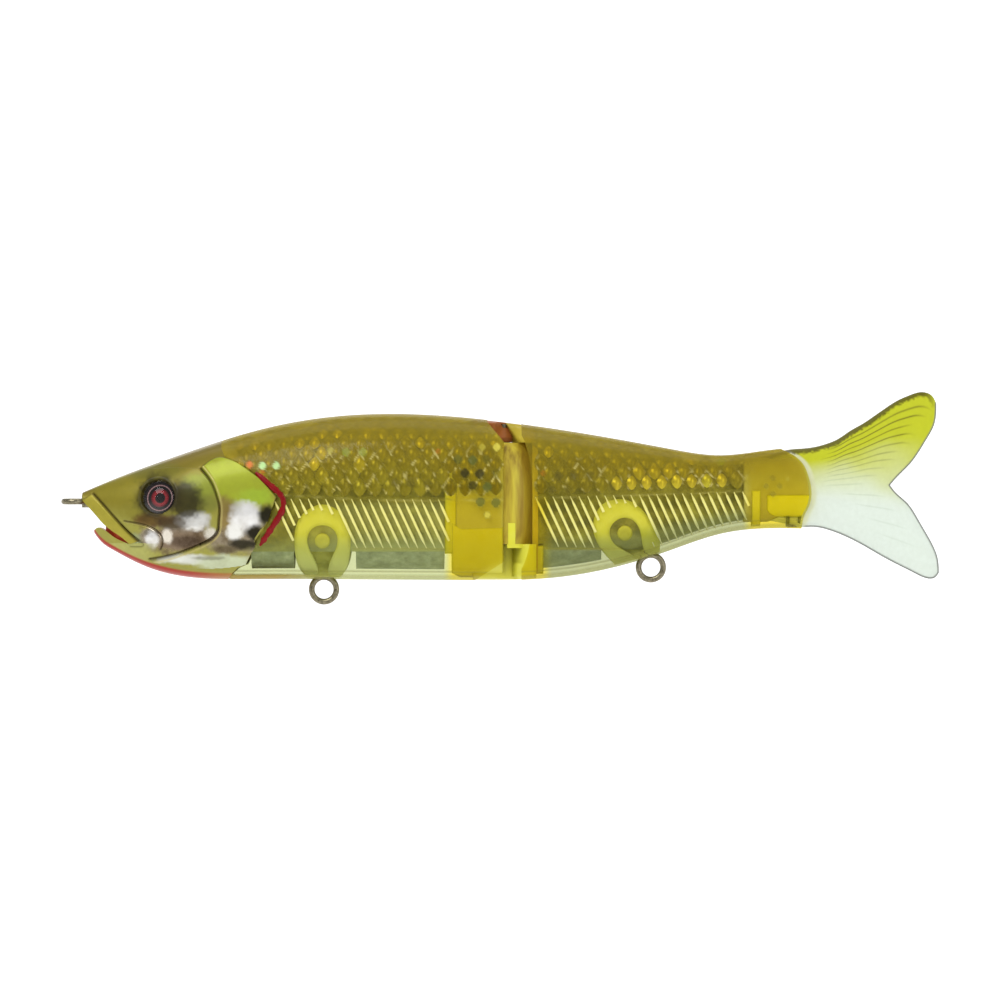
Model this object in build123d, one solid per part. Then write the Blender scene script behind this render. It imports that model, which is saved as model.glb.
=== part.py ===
from build123d import *
from math import cos, radians, sin, tan
import os

# Single-jointed glide bait: a hollow two-section hard lure with a soft tail.
#
# Millimetres. The origin is the centre of the line-tie eye in front of the nose, +X runs to the tail
# and +Z to the back. Each section is a pair of moulded half shells that meet on the plane Y = 0, so
# every moulded piece is drawn once for the +Y side and mirrored for the other.

# ---------------------------------------------------------------- driving dimensions
body_length = 168.0        # nose tip to the tips of the tail fin
body_height = 32.6         # deepest part of the back to the belly
body_width = 20.4          # widest part of the flanks
nose_gap = 1.75            # line-tie centre to the nose tip

shell_wall = 1.6           # moulded half shells
bulkhead_wall = 2.2        # end walls of the air chambers
head_plate_wall = 0.6      # plated head cover on each side
foil_thickness = 0.2       # flash foil inside each chamber
foil_gap = 0.05            # foil to shell
foil_end_gap = 0.5         # foil to the chamber's end walls

wire = 1.2                 # hanger and line-tie wire
hook_bore = 3.7            # inside diameter of the hook hangers' eyes
tie_bore = 2.7             # inside diameter of the line tie's eyes
eye_pitch = 9.4            # outer eye centre to inner eye centre
eye_drop = 2.0             # belly to the outer eye's centre
wire_fit = 0.05            # wire to its moulded pocket
pocket_depth = 1.3         # pocket round a wire's inner eye, measured from the middle plane
boss_radius = 5.4          # moulded boss round a hanger's inner eye
boss_neck = 8.6            # width of that boss where it meets the belly

hinge_pin_diameter = 2.0
hinge_fit = 0.08           # pin to the rear knuckle, on the radius
joint_gap = 0.4            # between the two sections all round the knuckle
lip_wall = 1.0             # shell left outside the knuckle's cup
upper_ear_height = 4.0     # front section's hinge ears, measured in from back and belly
lower_ear_height = 7.0
ear_radius = 3.2
shoulder_run = 5.6         # hinge axis to the rear section's full width
swing_limit = 27.0         # degrees the rear section turns each way

eye_diameter = 6.4
eye_depth = 1.9            # socket depth below the cheek
iris_thickness = 0.5
lens_dome = 1.0            # lens height above its own rim

tail_slot_length = 9.6
tail_thickness = 2.6
tail_fit = 0.1             # tail root to its slot
tail_neck_gap = 0.3        # fin to the end of the rear shell
tail_pin_diameter = 1.8

peg_diameter = 2.0         # locating pegs between half shells
peg_post = 4.4
peg_reach = 2.5
peg_fit = 0.05

ballast_height = 4.4
ballast_gap = 0.25         # ballast to foil and shell

# ---------------------------------------------------------------- body outlines
# Percent of body_length behind the nose, percent of body_height above the line tie.
back_points = [
    (0.0, 5.5), (4.1, 14.4), (11.1, 27.6), (20.2, 42.6), (28.7, 50.8), (38.5, 52.6), (50.7, 47.0),
    (60.2, 39.6), (69.0, 31.4), (74.3, 27.9), (80.5, 31.2), (87.0, 33.5),
]
belly_points = [
    (0.0, -3.7), (1.4, -19.2), (3.4, -28.8), (7.6, -39.6), (12.5, -45.6), (20.0, -46.8),
    (33.0, -47.0), (45.8, -47.4), (53.5, -46.6), (60.2, -41.9), (68.7, -29.4), (74.5, -19.6),
    (80.0, -16.2), (87.0, -17.0),
]
# Percent of body_length, percent of body_width.
flank_points = [
    (0.0, 8.0), (4.0, 21.0), (12.0, 37.5), (22.0, 47.0), (34.0, 50.0), (47.0, 48.0), (58.0, 42.0),
    (72.0, 26.0), (80.0, 18.0), (87.0, 15.0),
]
section_stations = [
    0.0, 1.4, 3.4, 6.5, 10.0, 14.5, 20.0, 26.0, 33.0, 40.0, 47.0, 54.0, 60.0, 66.0, 71.5, 76.0, 81.0,
    87.0,
]
fullness = 0.64            # reach of each quarter curve's handles: 0.55 is an ellipse, more is boxier


def along(percent):
    """X of a place given in percent of the body length."""
    return nose_gap + body_length * percent / 100


def level(percent):
    """Z of a place given in percent of the body height."""
    return body_height * percent / 100


def smooth(points):
    """Height of a smooth curve through the points, as a function of X."""
    curve = Spline(*points)

    def value(x):
        near, away = 0.0, 1.0
        for _ in range(30):
            t = (near + away) / 2
            near, away = (t, away) if curve.position_at(t).X < x else (near, t)
        return curve.position_at(t).Y

    return value


back = smooth([(along(x), level(z)) for x, z in back_points])
belly = smooth([(along(x), level(z)) for x, z in belly_points])
flank = smooth([(along(x), body_width * y / 100) for x, y in flank_points])


def quarter(x, inset, edge_z):
    """Handles of the curve from the widest point at X to the back or the belly, as (Y, Z)."""
    middle = (back(x) + belly(x)) / 2
    reach = flank(x) - inset
    rise = edge_z - middle
    return [
        (reach, middle), (reach, middle + fullness * rise), (fullness * reach, edge_z), (0.0, edge_z)
    ]


def half_section(x, inset):
    """Half of the body's cross-section at X, on the +Y side, drawn in by inset."""
    upper = quarter(x, inset, back(x) - inset)
    lower = quarter(x, inset, belly(x) + inset)
    edges = [Bezier(*upper), Bezier(*lower), Line(upper[-1], lower[-1])]
    return Plane(origin=(x, 0, 0), x_dir=(0, 1, 0), z_dir=(1, 0, 0)) * make_face(edges)


def skin_y(x, z):
    """How far out the body's surface is at X, Z."""
    edge_z = back(x) if z > (back(x) + belly(x)) / 2 else belly(x)
    handles = quarter(x, 0.0, edge_z)
    near, away = 0.0, 1.0
    for _ in range(40):
        t = (near + away) / 2
        weights = [w * t**i * (1 - t) ** (3 - i) for i, w in enumerate((1, 3, 3, 1))]
        point_y = sum(w * p[0] for w, p in zip(weights, handles))
        point_z = sum(w * p[1] for w, p in zip(weights, handles))
        near, away = (t, away) if abs(point_z - handles[0][1]) < abs(z - handles[0][1]) else (near, t)
    return point_y


def half_body(start, end, inset):
    """The +Y half of the body between two stations in X, drawn in by inset."""
    margin = body_length * 0.008
    inside = [along(p) for p in section_stations if start + margin < along(p) < end - margin]
    return loft([half_section(x, inset) for x in [start, *inside, end]])


def prism(points, y_from, y_to, closed_curve=False):
    """A side-view outline given as (X, Z) points, run from one Y to another."""
    flat = [(x, z) for x, z in points]
    edge = Spline(*flat, periodic=True) if closed_curve else Polyline(*flat, close=True)
    face = Plane(origin=(0, y_from, 0), x_dir=(1, 0, 0), z_dir=(0, -1, 0)) * make_face(edge)
    return extrude(face, amount=y_to - y_from, dir=(0, 1, 0))


def cross_rod(x, z, radius, y_from, y_to):
    """A round bar along Y."""
    return Pos(x, (y_from + y_to) / 2, z) * Rot(90, 0, 0) * Cylinder(radius, y_to - y_from)


def upright(x, radius, z_from, z_to):
    """A round bar along Z on the middle plane."""
    return Pos(x, 0, (z_from + z_to) / 2) * Cylinder(radius, z_to - z_from)


def block(x_from, x_to, y_from, y_to, z_from, z_to):
    """A plain box between two corners."""
    middle = Pos((x_from + x_to) / 2, (y_from + y_to) / 2, (z_from + z_to) / 2)
    return middle * Box(x_to - x_from, y_to - y_from, z_to - z_from)


def other_side(shape):
    return mirror(shape, about=Plane.XZ)


def save(name, shape):
    """Writes one node. A shape of several solids stays a group of separate solids."""
    export_step(shape, f"parts/{name}.step")


def save_pair(name, shape):
    """Writes the fish's right-hand piece, on +Y, and its mirror image for the left."""
    save(f"{name}_right", shape)
    save(f"{name}_left", other_side(shape))


# ---------------------------------------------------------------- places that pieces share
nose_x = along(0.0)
shell_end_x = along(85.1)               # rearmost point of the rear shell
hinge_x = along(49.3)
far = body_length + body_height         # safely outside the body, for cutting tools
side = body_width

cup_radius = flank(hinge_x) - lip_wall
upper_ear_z = back(hinge_x) - upper_ear_height
lower_ear_z = belly(hinge_x) + lower_ear_height
shoulder_x = hinge_x + shoulder_run
ear_clear_x = hinge_x + ear_radius + joint_gap

front_chamber = (along(12.4), hinge_x - cup_radius - bulkhead_wall)
rear_chamber = (shoulder_x + shell_wall / 2, along(77.9))
slot_x = shell_end_x - tail_slot_length
slot_floor_z = belly(slot_x) + 2.6

eye_x, eye_z = along(9.0), level(2.8)

front_hanger_x = along(28.2)
rear_hanger_x = along(65.8)
rear_hanger_tilt = 31.0

pegs_front = [(along(17.5), level(22.0)), (along(33.5), level(30.0))]
pegs_rear = [(along(57.5), level(20.0)), (along(73.0), level(6.0))]


# ---------------------------------------------------------------- wire eyes
def ring_radius(bore):
    """Radius of an eye's wire centreline. The flat coined inside it takes a little off the wire."""
    return (bore + wire) / 2 - 0.05


def wire_ring(bore, radius):
    return Rot(90, 0, 0) * Torus(ring_radius(bore), radius)


def wire_neck(bore, radius):
    """The pair of wires side by side that joins the two eyes."""
    low = ring_radius(bore) - wire / 4
    high = eye_pitch - low
    return extrude(Plane.XY.offset(low) * SlotOverall(wire + 2 * radius, 2 * radius), high - low)


def wire_eyes(bore, twist):
    """Two wire rings and their neck. The outer ring is at the origin in the XZ plane, the inner ring
    is above it, and twist turns the outer ring about the neck. The outer ring has a small flat
    coined inside it for a split ring or snap."""
    ring = wire_ring(bore, wire / 2)
    coined = ring - Rot(90, 0, 0) * Cylinder(bore / 2, 2 * wire)
    return Rot(0, 0, twist) * coined + wire_neck(bore, wire / 2) + Pos(0, 0, eye_pitch) * ring


def eye_socket(bore, twist):
    """Room for a pair of eyes in the shell, with a peg left standing inside the inner ring."""
    room = wire / 2 + wire_fit
    pocket = Cylinder(ring_radius(bore) + room, 2 * pocket_depth)
    pocket -= Cylinder(ring_radius(bore) - room, 2 * pocket_depth)
    inner = Pos(0, 0, eye_pitch) * Rot(90, 0, 0) * pocket
    return Rot(0, 0, twist) * wire_ring(bore, room) + wire_neck(bore, room) + inner


def hanger_place(x, tilt):
    """Where a belly hanger's outer eye goes: below the belly, leaning back by tilt."""
    lean = radians(tilt)
    return Pos(x + eye_drop * sin(lean), 0, belly(x) - eye_drop * cos(lean)) * Rot(0, -tilt, 0)


def inner_eye(x, tilt):
    """X and Z of a belly hanger's inner eye."""
    lean = radians(tilt)
    reach = eye_pitch - eye_drop
    return x - reach * sin(lean), belly(x) + reach * cos(lean)


def hanger_boss(x, tilt):
    """Solid plastic round a hanger's inner eye and down to the belly, on the +Y side."""
    centre_x, centre_z = inner_eye(x, tilt)
    drum = cross_rod(centre_x, centre_z, boss_radius, 0, side)
    length = eye_pitch + shell_wall
    stem = Pos(centre_x, side / 2, centre_z) * Rot(0, -tilt, 0)
    stem = stem * Pos(0, 0, -length / 2) * Box(boss_neck, side, length)
    return drum + stem


nose_place = Rot(0, 90, 0)
line_tie_twist = 90.0


# ---------------------------------------------------------------- head: plates, eyes, mouth
def head_outline():
    """Side-view edge of the plated head cover, from the snout round the gill cover."""
    points = [
        (3.0, 7.0), (8.5, 18.0), (14.0, 22.0), (16.6, 25.6), (19.9, 17.0), (22.9, 0.5), (21.7, -12.0),
        (20.4, -26.0), (18.0, -37.0), (13.2, -41.0), (9.0, -36.5), (6.4, -27.0), (4.4, -10.5),
    ]
    return [(along(x), level(z)) for x, z in points]


def mouth_gap():
    """Side-view shape of the open mouth, closed in front of the nose."""
    points = [
        (-3.0, -3.0), (0.1, -4.0), (3.2, -15.0), (5.2, -24.5), (3.4, -19.4), (2.4, -17.0), (1.5, -15.6),
        (-3.0, -15.6),
    ]
    return [(along(x), level(z)) for x, z in points]


def eye_place():
    """The eye's seat on the cheek, with local +Z pointing straight out of the skin."""
    run = (skin_y(eye_x + 1, eye_z) - skin_y(eye_x - 1, eye_z)) / 2
    rise = (skin_y(eye_x, eye_z + 1) - skin_y(eye_x, eye_z - 1)) / 2
    cheek = (eye_x, skin_y(eye_x, eye_z), eye_z)
    return Plane(origin=cheek, x_dir=(1, run, 0), z_dir=(-run, 1, -rise)).location


def build_head_plate(outer):
    """Thin plated cover let into the side of the head, with a hole for the eye."""
    skin = outer - half_body(nose_x, along(87.0), head_plate_wall)
    skin -= prism(mouth_gap(), -side, side)
    plate = skin & prism(head_outline(), shell_wall, side, closed_curve=True)
    plate -= eye_place() * Cylinder(eye_diameter / 2, 4 * eye_depth)
    return max(plate.solids(), key=lambda s: s.volume)


def build_iris():
    """Printed disc at the bottom of the eye socket."""
    seat = eye_place() * Pos(0, 0, iris_thickness / 2 - eye_depth)
    return seat * Cylinder(eye_diameter / 2 - wire_fit, iris_thickness)


def build_lens():
    """Clear cast lens over the iris: a short drum with a domed top."""
    rim = eye_depth - iris_thickness
    radius = eye_diameter / 2 - wire_fit
    ball = (radius**2 + lens_dome**2) / (2 * lens_dome)
    drum = Pos(0, 0, (rim + lens_dome) / 2) * Cylinder(radius, rim + lens_dome)
    dome = Pos(0, 0, rim + lens_dome - ball) * Sphere(ball)
    return eye_place() * Pos(0, 0, iris_thickness - eye_depth) * (drum & dome)


# ---------------------------------------------------------------- front section
def front_region():
    """Side-view limits of the front section, with its edges cut back at back and belly."""
    return [
        (nose_x - far, far), (hinge_x - 3.4, far), (hinge_x - 3.4, back(hinge_x)),
        (hinge_x - 0.1, upper_ear_z), (hinge_x - 0.1, belly(hinge_x) + 3.7),
        (hinge_x - 5.8, belly(hinge_x)), (hinge_x - 5.8, -far), (nose_x - far, -far),
    ]


def ears():
    """Rounded hinge ears above and below the knuckle, on the +Y side."""
    drum = upright(hinge_x, ear_radius, -far, far)
    arm = block(hinge_x - cup_radius, hinge_x, 0, ear_radius, -far, far)
    whole = (drum + arm) & block(0, far, 0, side, -far, far)
    above = whole & block(0, far, 0, side, upper_ear_z, far)
    below = whole & block(0, far, 0, side, -far, lower_ear_z)
    return above + below


def turned(inset, low, high):
    """The section at the hinge, drawn in by inset and spun about the hinge axis."""
    axis = Axis((hinge_x, 0, 0), (0, 0, 1))
    return revolve(half_section(hinge_x, inset), axis, 360) & block(0, far, -side, side, low, high)


def pegs(places, radius, reach):
    return [cross_rod(x, z, radius, 0, reach) for x, z in places]


def locating(shell, places, male):
    """Adds locating pegs that cross the middle plane, or the holes that take them."""
    for x, z in places:
        if male:
            shell += cross_rod(x, z, peg_diameter / 2, -peg_reach, 0.5)
        else:
            shell -= cross_rod(x, z, peg_diameter / 2 + peg_fit, -1, peg_reach + peg_fit)
    return shell


def build_front_shell(outer, plate):
    """Front half shell on +Y, before its locating pegs."""
    chamber = half_body(*front_chamber, shell_wall)
    chamber -= hanger_boss(front_hanger_x, 0.0)
    for post in pegs(pegs_front, peg_post / 2, side):
        chamber -= post
    shell = outer & prism(front_region(), -side, side)
    shell -= turned(lip_wall, lower_ear_z, upper_ear_z)
    shell += outer & ears()
    shell -= chamber
    shell -= prism(mouth_gap(), -side, side)
    shell -= upright(hinge_x, hinge_pin_diameter / 2, -far, far)
    shell -= hanger_place(front_hanger_x, 0.0) * eye_socket(hook_bore, 0.0)
    shell -= nose_place * eye_socket(tie_bore, line_tie_twist)
    shell -= plate
    shell -= eye_place() * Pos(0, 0, side / 2 - eye_depth) * Cylinder(eye_diameter / 2, side)
    return shell


# ---------------------------------------------------------------- rear section
def knuckle():
    """Rear section's round nose, on the +Y side."""
    drum = turned(lip_wall + joint_gap, lower_ear_z + joint_gap, upper_ear_z - joint_gap)
    return drum & block(0, far, 0, side, -far, far)


def swing_room():
    """Room in front of the rear shell for the ears, and for its shoulders when it swings."""
    slope = tan(radians(swing_limit + 3.0))
    plan = Polyline(
        (hinge_x - far, -1), (ear_clear_x, -1), (ear_clear_x, (ear_clear_x - hinge_x) / slope),
        (hinge_x + side * slope, side), (hinge_x - far, side), close=True
    )
    return extrude(Plane.XY.offset(-far) * make_face(plan), 2 * far)


def shell_end():
    """Side-view shape behind the rear shell's rounded end, where the tail fin starts."""
    end = ThreePointArc(
        (shell_end_x - 5.0, back(shell_end_x) + 0.4), (shell_end_x, 2.7),
        (shell_end_x - 2.1, slot_floor_z - 0.2)
    )
    rest = Polyline(
        (shell_end_x - 2.1, slot_floor_z - 0.2), (shell_end_x - 2.1, -far), (far, -far), (far, far),
        (shell_end_x - 5.0, far), (shell_end_x - 5.0, back(shell_end_x) + 0.4)
    )
    face = Plane(origin=(0, -side, 0), x_dir=(1, 0, 0), z_dir=(0, -1, 0)) * make_face([end, rest])
    return extrude(face, amount=2 * side, dir=(0, 1, 0))


def tail_pin_x():
    return shell_end_x - 3.6


def build_rear_shell(outer):
    """Rear half shell on +Y, before its locating pegs."""
    chamber = half_body(*rear_chamber, shell_wall)
    chamber -= hanger_boss(rear_hanger_x, rear_hanger_tilt)
    for post in pegs(pegs_rear, peg_post / 2, side):
        chamber -= post
    shell = outer - swing_room() + (outer & knuckle())
    shell -= chamber
    shell -= shell_end()
    slot = block(slot_x, far, -side, tail_thickness / 2 + tail_fit, slot_floor_z, far)
    shell -= slot & half_slot_roof()
    shell -= upright(hinge_x, hinge_pin_diameter / 2 + hinge_fit, -far, far)
    shell -= upright(tail_pin_x(), tail_pin_diameter / 2 + wire_fit, -far, level(22.0))
    shell -= hanger_place(rear_hanger_x, rear_hanger_tilt) * eye_socket(hook_bore, 0.0)
    return shell


def half_slot_roof():
    """Keeps the tail slot below a web of plastic along the back."""
    return half_body(slot_x - 1.0, along(87.0), 0.0) & block(0, far, 0, side, -far, level(25.5))


# ---------------------------------------------------------------- foil and ballast
def build_foil(chamber, x, tilt, places):
    """Flash foil that lines one side of a chamber, cut out round the boss and the posts."""
    near, away = shell_wall + foil_gap, shell_wall + foil_gap + foil_thickness
    start, end = chamber[0] + foil_end_gap, chamber[1] - foil_end_gap
    skin = half_body(*chamber, near) - half_body(*chamber, away)
    skin &= block(start, end, 1.0, side, level(-26.5), level(46.0))
    skin -= hanger_boss(x, tilt)
    for post in pegs(places, peg_post / 2 + foil_gap, side):
        skin -= post
    return max(skin.solids(), key=lambda s: s.volume)


def build_ballast(chamber, x_from, x_to):
    """Belly weight shaped to the bottom of a chamber, whole across the middle plane."""
    room = half_body(*chamber, shell_wall + foil_gap + foil_thickness + ballast_gap)
    top = belly((x_from + x_to) / 2) + shell_wall + ballast_height
    half = room & block(x_from, x_to, 0, side, -far, top)
    return half + other_side(half)


# ---------------------------------------------------------------- tail
def tail_points():
    """Side-view edge of the soft tail behind the shell, top round to bottom."""
    return dict(
        top_lobe=[(84.1, 31.2), (86.5, 32.2), (90.4, 39.5), (95.5, 56.5), (98.2, 65.0)],
        top_tip=[(99.3, 65.4), (99.9, 61.0), (99.5, 50.0)],
        fork=[(98.0, 36.0), (95.0, 16.5), (93.0, 2.6)],
        low_lobe=[(95.5, -9.5), (98.0, -24.0), (99.6, -36.0)],
        low_tip=[(100.0, -43.5), (99.5, -46.3), (98.3, -46.2)],
        low_edge=[(94.5, -37.0), (90.0, -24.5), (87.0, -18.0), (84.1, -16.5)],
    )


def place(points):
    return [(along(x), level(z)) for x, z in points]


def tail_sheet():
    """The whole tail outline as a flat sheet on the +Y side, tapering towards the tips."""
    part = tail_points()
    upper = Spline(*place(part["top_lobe"] + part["top_tip"] + part["fork"]))
    lower = Spline(*place(part["fork"][-1:] + part["low_lobe"] + part["low_tip"] + part["low_edge"]))
    shut = Line(place(part["low_edge"])[-1], place(part["top_lobe"])[0])
    face = Plane(origin=(0, 0, 0), x_dir=(1, 0, 0), z_dir=(0, -1, 0)) * make_face([upper, lower, shut])
    slab = extrude(face, amount=tail_thickness / 2, dir=(0, 1, 0))
    neck_x, tip_x = shell_end_x, along(100.0)
    taper = Polyline(
        (nose_x, 0), (nose_x, tail_thickness / 2), (neck_x, tail_thickness / 2), (tip_x + 1, 0.45),
        (tip_x + 1, 0), close=True
    )
    return slab & extrude(Plane.XY.offset(-far) * make_face(taper), 2 * far)


bend_x = shell_end_x + 1.6                # where the soft tail flexes
bend_radius = tail_thickness / 2


def build_tail_blade():
    """Soft fin behind the flexing line, with a rounded edge that rolls in the root's groove."""
    sheet = tail_sheet()
    behind = sheet & block(bend_x, far, 0, side, -far, far)
    nose = sheet & upright(bend_x, bend_radius - 0.01, -far, far)
    half = behind + nose
    return half + other_side(half)


def build_tail_root():
    """Soft tail's root: the tab in the slot and the neck up to the flexing line."""
    sheet = tail_sheet() & block(0, bend_x, 0, side, -far, far)
    outside = shell_end() & block(0, far, 0, side, -far, far)
    neck = sheet & (Pos(tail_neck_gap, 0, 0) * outside)
    neck -= upright(bend_x, bend_radius + tail_fit, -far, far)
    tab = block(slot_x + tail_fit, bend_x - bend_radius - 1.0, 0, tail_thickness / 2,
                slot_floor_z + tail_fit, level(25.5) - tail_fit)
    tab -= upright(tail_pin_x(), tail_pin_diameter / 2 + wire_fit, -far, level(22.0))
    half = neck + tab
    half -= upright(bend_x, bend_radius + tail_fit, -far, far)
    return half + other_side(half)


# ---------------------------------------------------------------- build and write
def main():
    os.makedirs("parts", exist_ok=True)
    outer = half_body(nose_x, along(87.0), 0.0)

    plate = build_head_plate(outer)
    front = build_front_shell(outer, plate)
    save("front_shell_right", locating(front, pegs_front, male=False))
    save("front_shell_left", other_side(locating(front, pegs_front, male=True)))
    rear = build_rear_shell(outer)
    save("rear_shell_right", locating(rear, pegs_rear, male=False))
    save("rear_shell_left", other_side(locating(rear, pegs_rear, male=True)))

    save_pair("head_plate", plate)
    save_pair("eye_iris", build_iris())
    save_pair("eye_lens", build_lens())
    save_pair("front_foil", build_foil(front_chamber, front_hanger_x, 0.0, pegs_front))
    save_pair("rear_foil", build_foil(rear_chamber, rear_hanger_x, rear_hanger_tilt, pegs_rear))

    save("front_hook_hanger", hanger_place(front_hanger_x, 0.0) * wire_eyes(hook_bore, 0.0))
    save("rear_hook_hanger", hanger_place(rear_hanger_x, rear_hanger_tilt) * wire_eyes(hook_bore, 0.0))
    save("line_tie", nose_place * wire_eyes(tie_bore, line_tie_twist))

    save("front_ballast_fore", build_ballast(front_chamber, along(19.8), along(24.8)))
    save("front_ballast_aft", build_ballast(front_chamber, along(32.0), front_chamber[1] - 1.0))
    save("rear_ballast", build_ballast(rear_chamber, rear_chamber[0] + 0.6, along(60.6)))

    pin_low, pin_high = belly(hinge_x) + 0.4, back(hinge_x) - 0.4
    save("hinge_pin", upright(hinge_x, hinge_pin_diameter / 2, pin_low, pin_high))
    save("tail_pin", upright(tail_pin_x(), tail_pin_diameter / 2, belly(tail_pin_x()) + 0.2,
                             level(22.0) - 0.2))
    save("tail_root", build_tail_root())
    save("tail_blade", build_tail_blade())


main()
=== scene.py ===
import math

import bmesh
import bpy
import numpy as np
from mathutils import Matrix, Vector


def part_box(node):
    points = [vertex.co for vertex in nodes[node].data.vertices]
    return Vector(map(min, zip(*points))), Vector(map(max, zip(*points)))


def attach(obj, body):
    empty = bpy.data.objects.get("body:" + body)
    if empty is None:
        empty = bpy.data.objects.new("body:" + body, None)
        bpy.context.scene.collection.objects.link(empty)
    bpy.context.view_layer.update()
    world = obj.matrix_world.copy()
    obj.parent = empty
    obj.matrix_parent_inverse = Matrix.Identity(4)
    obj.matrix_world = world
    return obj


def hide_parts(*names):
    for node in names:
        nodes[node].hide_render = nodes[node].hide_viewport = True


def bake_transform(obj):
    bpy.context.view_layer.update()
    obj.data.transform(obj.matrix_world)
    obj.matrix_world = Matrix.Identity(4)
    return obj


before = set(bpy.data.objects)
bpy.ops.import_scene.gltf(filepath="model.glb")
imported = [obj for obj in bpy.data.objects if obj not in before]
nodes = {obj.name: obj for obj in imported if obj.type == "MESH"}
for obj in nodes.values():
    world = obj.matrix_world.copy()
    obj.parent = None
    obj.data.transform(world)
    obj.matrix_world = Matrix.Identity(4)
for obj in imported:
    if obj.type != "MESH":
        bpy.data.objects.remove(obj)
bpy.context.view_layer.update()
rng = np.random.default_rng(7)

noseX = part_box("front_shell_left")[0].x
hingeX = (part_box("hinge_pin")[0].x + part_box("hinge_pin")[1].x) / 2
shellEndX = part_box("rear_shell_left")[1].x

# the lure's outline: percent of the length, percent of the height or width
bodyShape = {
    "length": 0.168,
    "height": 0.0326,
    "width": 0.0204,
    "fullness": 0.64,
    "back": [(0, 5.5), (4.1, 14.4), (11.1, 27.6), (20.2, 42.6), (28.7, 50.8), (38.5, 52.6), (50.7, 47.0),
             (60.2, 39.6), (69.0, 31.4), (74.3, 27.9), (80.5, 31.2), (87.0, 33.5)],
    "belly": [(0, -3.7), (1.4, -19.2), (3.4, -28.8), (7.6, -39.6), (12.5, -45.6), (20.0, -46.8), (33.0, -47.0),
              (45.8, -47.4), (53.5, -46.6), (60.2, -41.9), (68.7, -29.4), (74.5, -19.6), (80.0, -16.2),
              (87.0, -17.0)],
    "flank": [(0, 8.0), (4.0, 21.0), (12.0, 37.5), (22.0, 47.0), (34.0, 50.0), (47.0, 48.0), (58.0, 42.0),
              (72.0, 26.0), (80.0, 18.0), (87.0, 15.0)],
    "lateral": [(0, 1.0), (20, 2.0), (34, 1.6), (46, 2.0), (53, 3.0), (62, 4.0), (70, 5.2), (78, 6.2), (87, 6.4)],
}


def along(percent):
    return noseX + bodyShape["length"] * np.asarray(percent, float) / 100


def level(percent):
    return bodyShape["height"] * np.asarray(percent, float) / 100


def percentX(x):
    return (np.asarray(x) - noseX) / bodyShape["length"] * 100


def percentZ(z):
    return z / bodyShape["height"] * 100


def smoothCurve(points):  # natural cubic through the points
    xs, ys = np.array(points, float).T
    h = np.diff(xs)
    n = len(xs)
    a, r = np.eye(n), np.zeros(n)
    for i in range(1, n - 1):
        a[i, i - 1:i + 2] = h[i - 1], 2 * (h[i - 1] + h[i]), h[i]
        r[i] = 6 * ((ys[i + 1] - ys[i]) / h[i] - (ys[i] - ys[i - 1]) / h[i - 1])
    m = np.linalg.solve(a, r)

    def value(x):
        x = np.asarray(x, float)
        i = np.clip(np.searchsorted(xs, x) - 1, 0, n - 2)
        p, q = xs[i + 1] - x, x - xs[i]
        cubic = (m[i] * p ** 3 + m[i + 1] * q ** 3) / (6 * h[i])
        return cubic + (ys[i] / h[i] - m[i] * h[i] / 6) * p + (ys[i + 1] / h[i] - m[i + 1] * h[i] / 6) * q

    return value


def outline(name, unit):
    return smoothCurve([(along(x), unit * y / 100) for x, y in bodyShape[name]])


backLine = outline("back", bodyShape["height"])
bellyLine = outline("belly", bodyShape["height"])
flankLine = outline("flank", bodyShape["width"])
lateralLine = outline("lateral", bodyShape["height"])


def skinPoint(x, t, inset=0.0):  # t runs from 0 on the back to 1 on the belly
    k = bodyShape["fullness"]
    middle = (backLine(x) + bellyLine(x)) / 2
    edge = np.where(t < 0.5, backLine(x) - inset, bellyLine(x) + inset)
    q = np.abs(1 - 2 * t)
    reach = np.maximum(flankLine(x) - inset, 0.0002)
    y = reach * ((1 - q) ** 3 + 3 * q * (1 - q) ** 2 + 3 * k * q ** 2 * (1 - q))
    z = middle + (edge - middle) * (3 * k * q * (1 - q) ** 2 + 3 * q ** 2 * (1 - q) + q ** 3)
    return y, z


def highOn(x, z):  # 0 on the belly, 1 on the back
    return (z - bellyLine(x)) / (backLine(x) - bellyLine(x))


tTable = np.linspace(0, 1, 241)


def tAtLevel(x, z, inset=0.0):  # where on the section a level is reached
    x, z = np.broadcast_arrays(np.asarray(x, float), np.asarray(z, float))
    out = np.empty(x.size)
    for i, (a, b) in enumerate(zip(x.ravel(), z.ravel())):
        levels = skinPoint(np.full(tTable.shape, a), tTable, inset)[1]
        out[i] = np.interp(-b, -levels, tTable)
    return out.reshape(x.shape)


def curveThrough(points, count):  # a smooth run of points through a few given ones
    p = np.array(points, float)
    run = np.concatenate([[0], np.cumsum(np.linalg.norm(np.diff(p, axis=0), axis=1))])
    at = np.linspace(0, run[-1], count)
    return np.stack([smoothCurve(list(zip(run, p[:, i])))(at) for i in range(p.shape[1])], 1)


def inPercent(points, count=60):
    p = curveThrough(points, count)
    return np.stack([along(p[:, 0]), level(p[:, 1])], 1)


def toLine(x, z, line):  # distance from each place to a run of points
    best = np.full(np.shape(x), 1.0)
    for (ax, az), (bx, bz) in zip(line[:-1], line[1:]):
        length = max((bx - ax) ** 2 + (bz - az) ** 2, 1e-18)
        f = np.clip(((x - ax) * (bx - ax) + (z - az) * (bz - az)) / length, 0, 1)
        best = np.minimum(best, np.hypot(x - ax - f * (bx - ax), z - az - f * (bz - az)))
    return best


def inside(x, z, line):
    hit = np.zeros(np.shape(x), bool)
    for (ax, az), (bx, bz) in zip(line, np.roll(line, -1, axis=0)):
        crosses = (az > z) != (bz > z)
        hit ^= crosses & (x < (bx - ax) * (z - az) / (bz - az if bz != az else 1e-12) + ax)
    return hit


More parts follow.
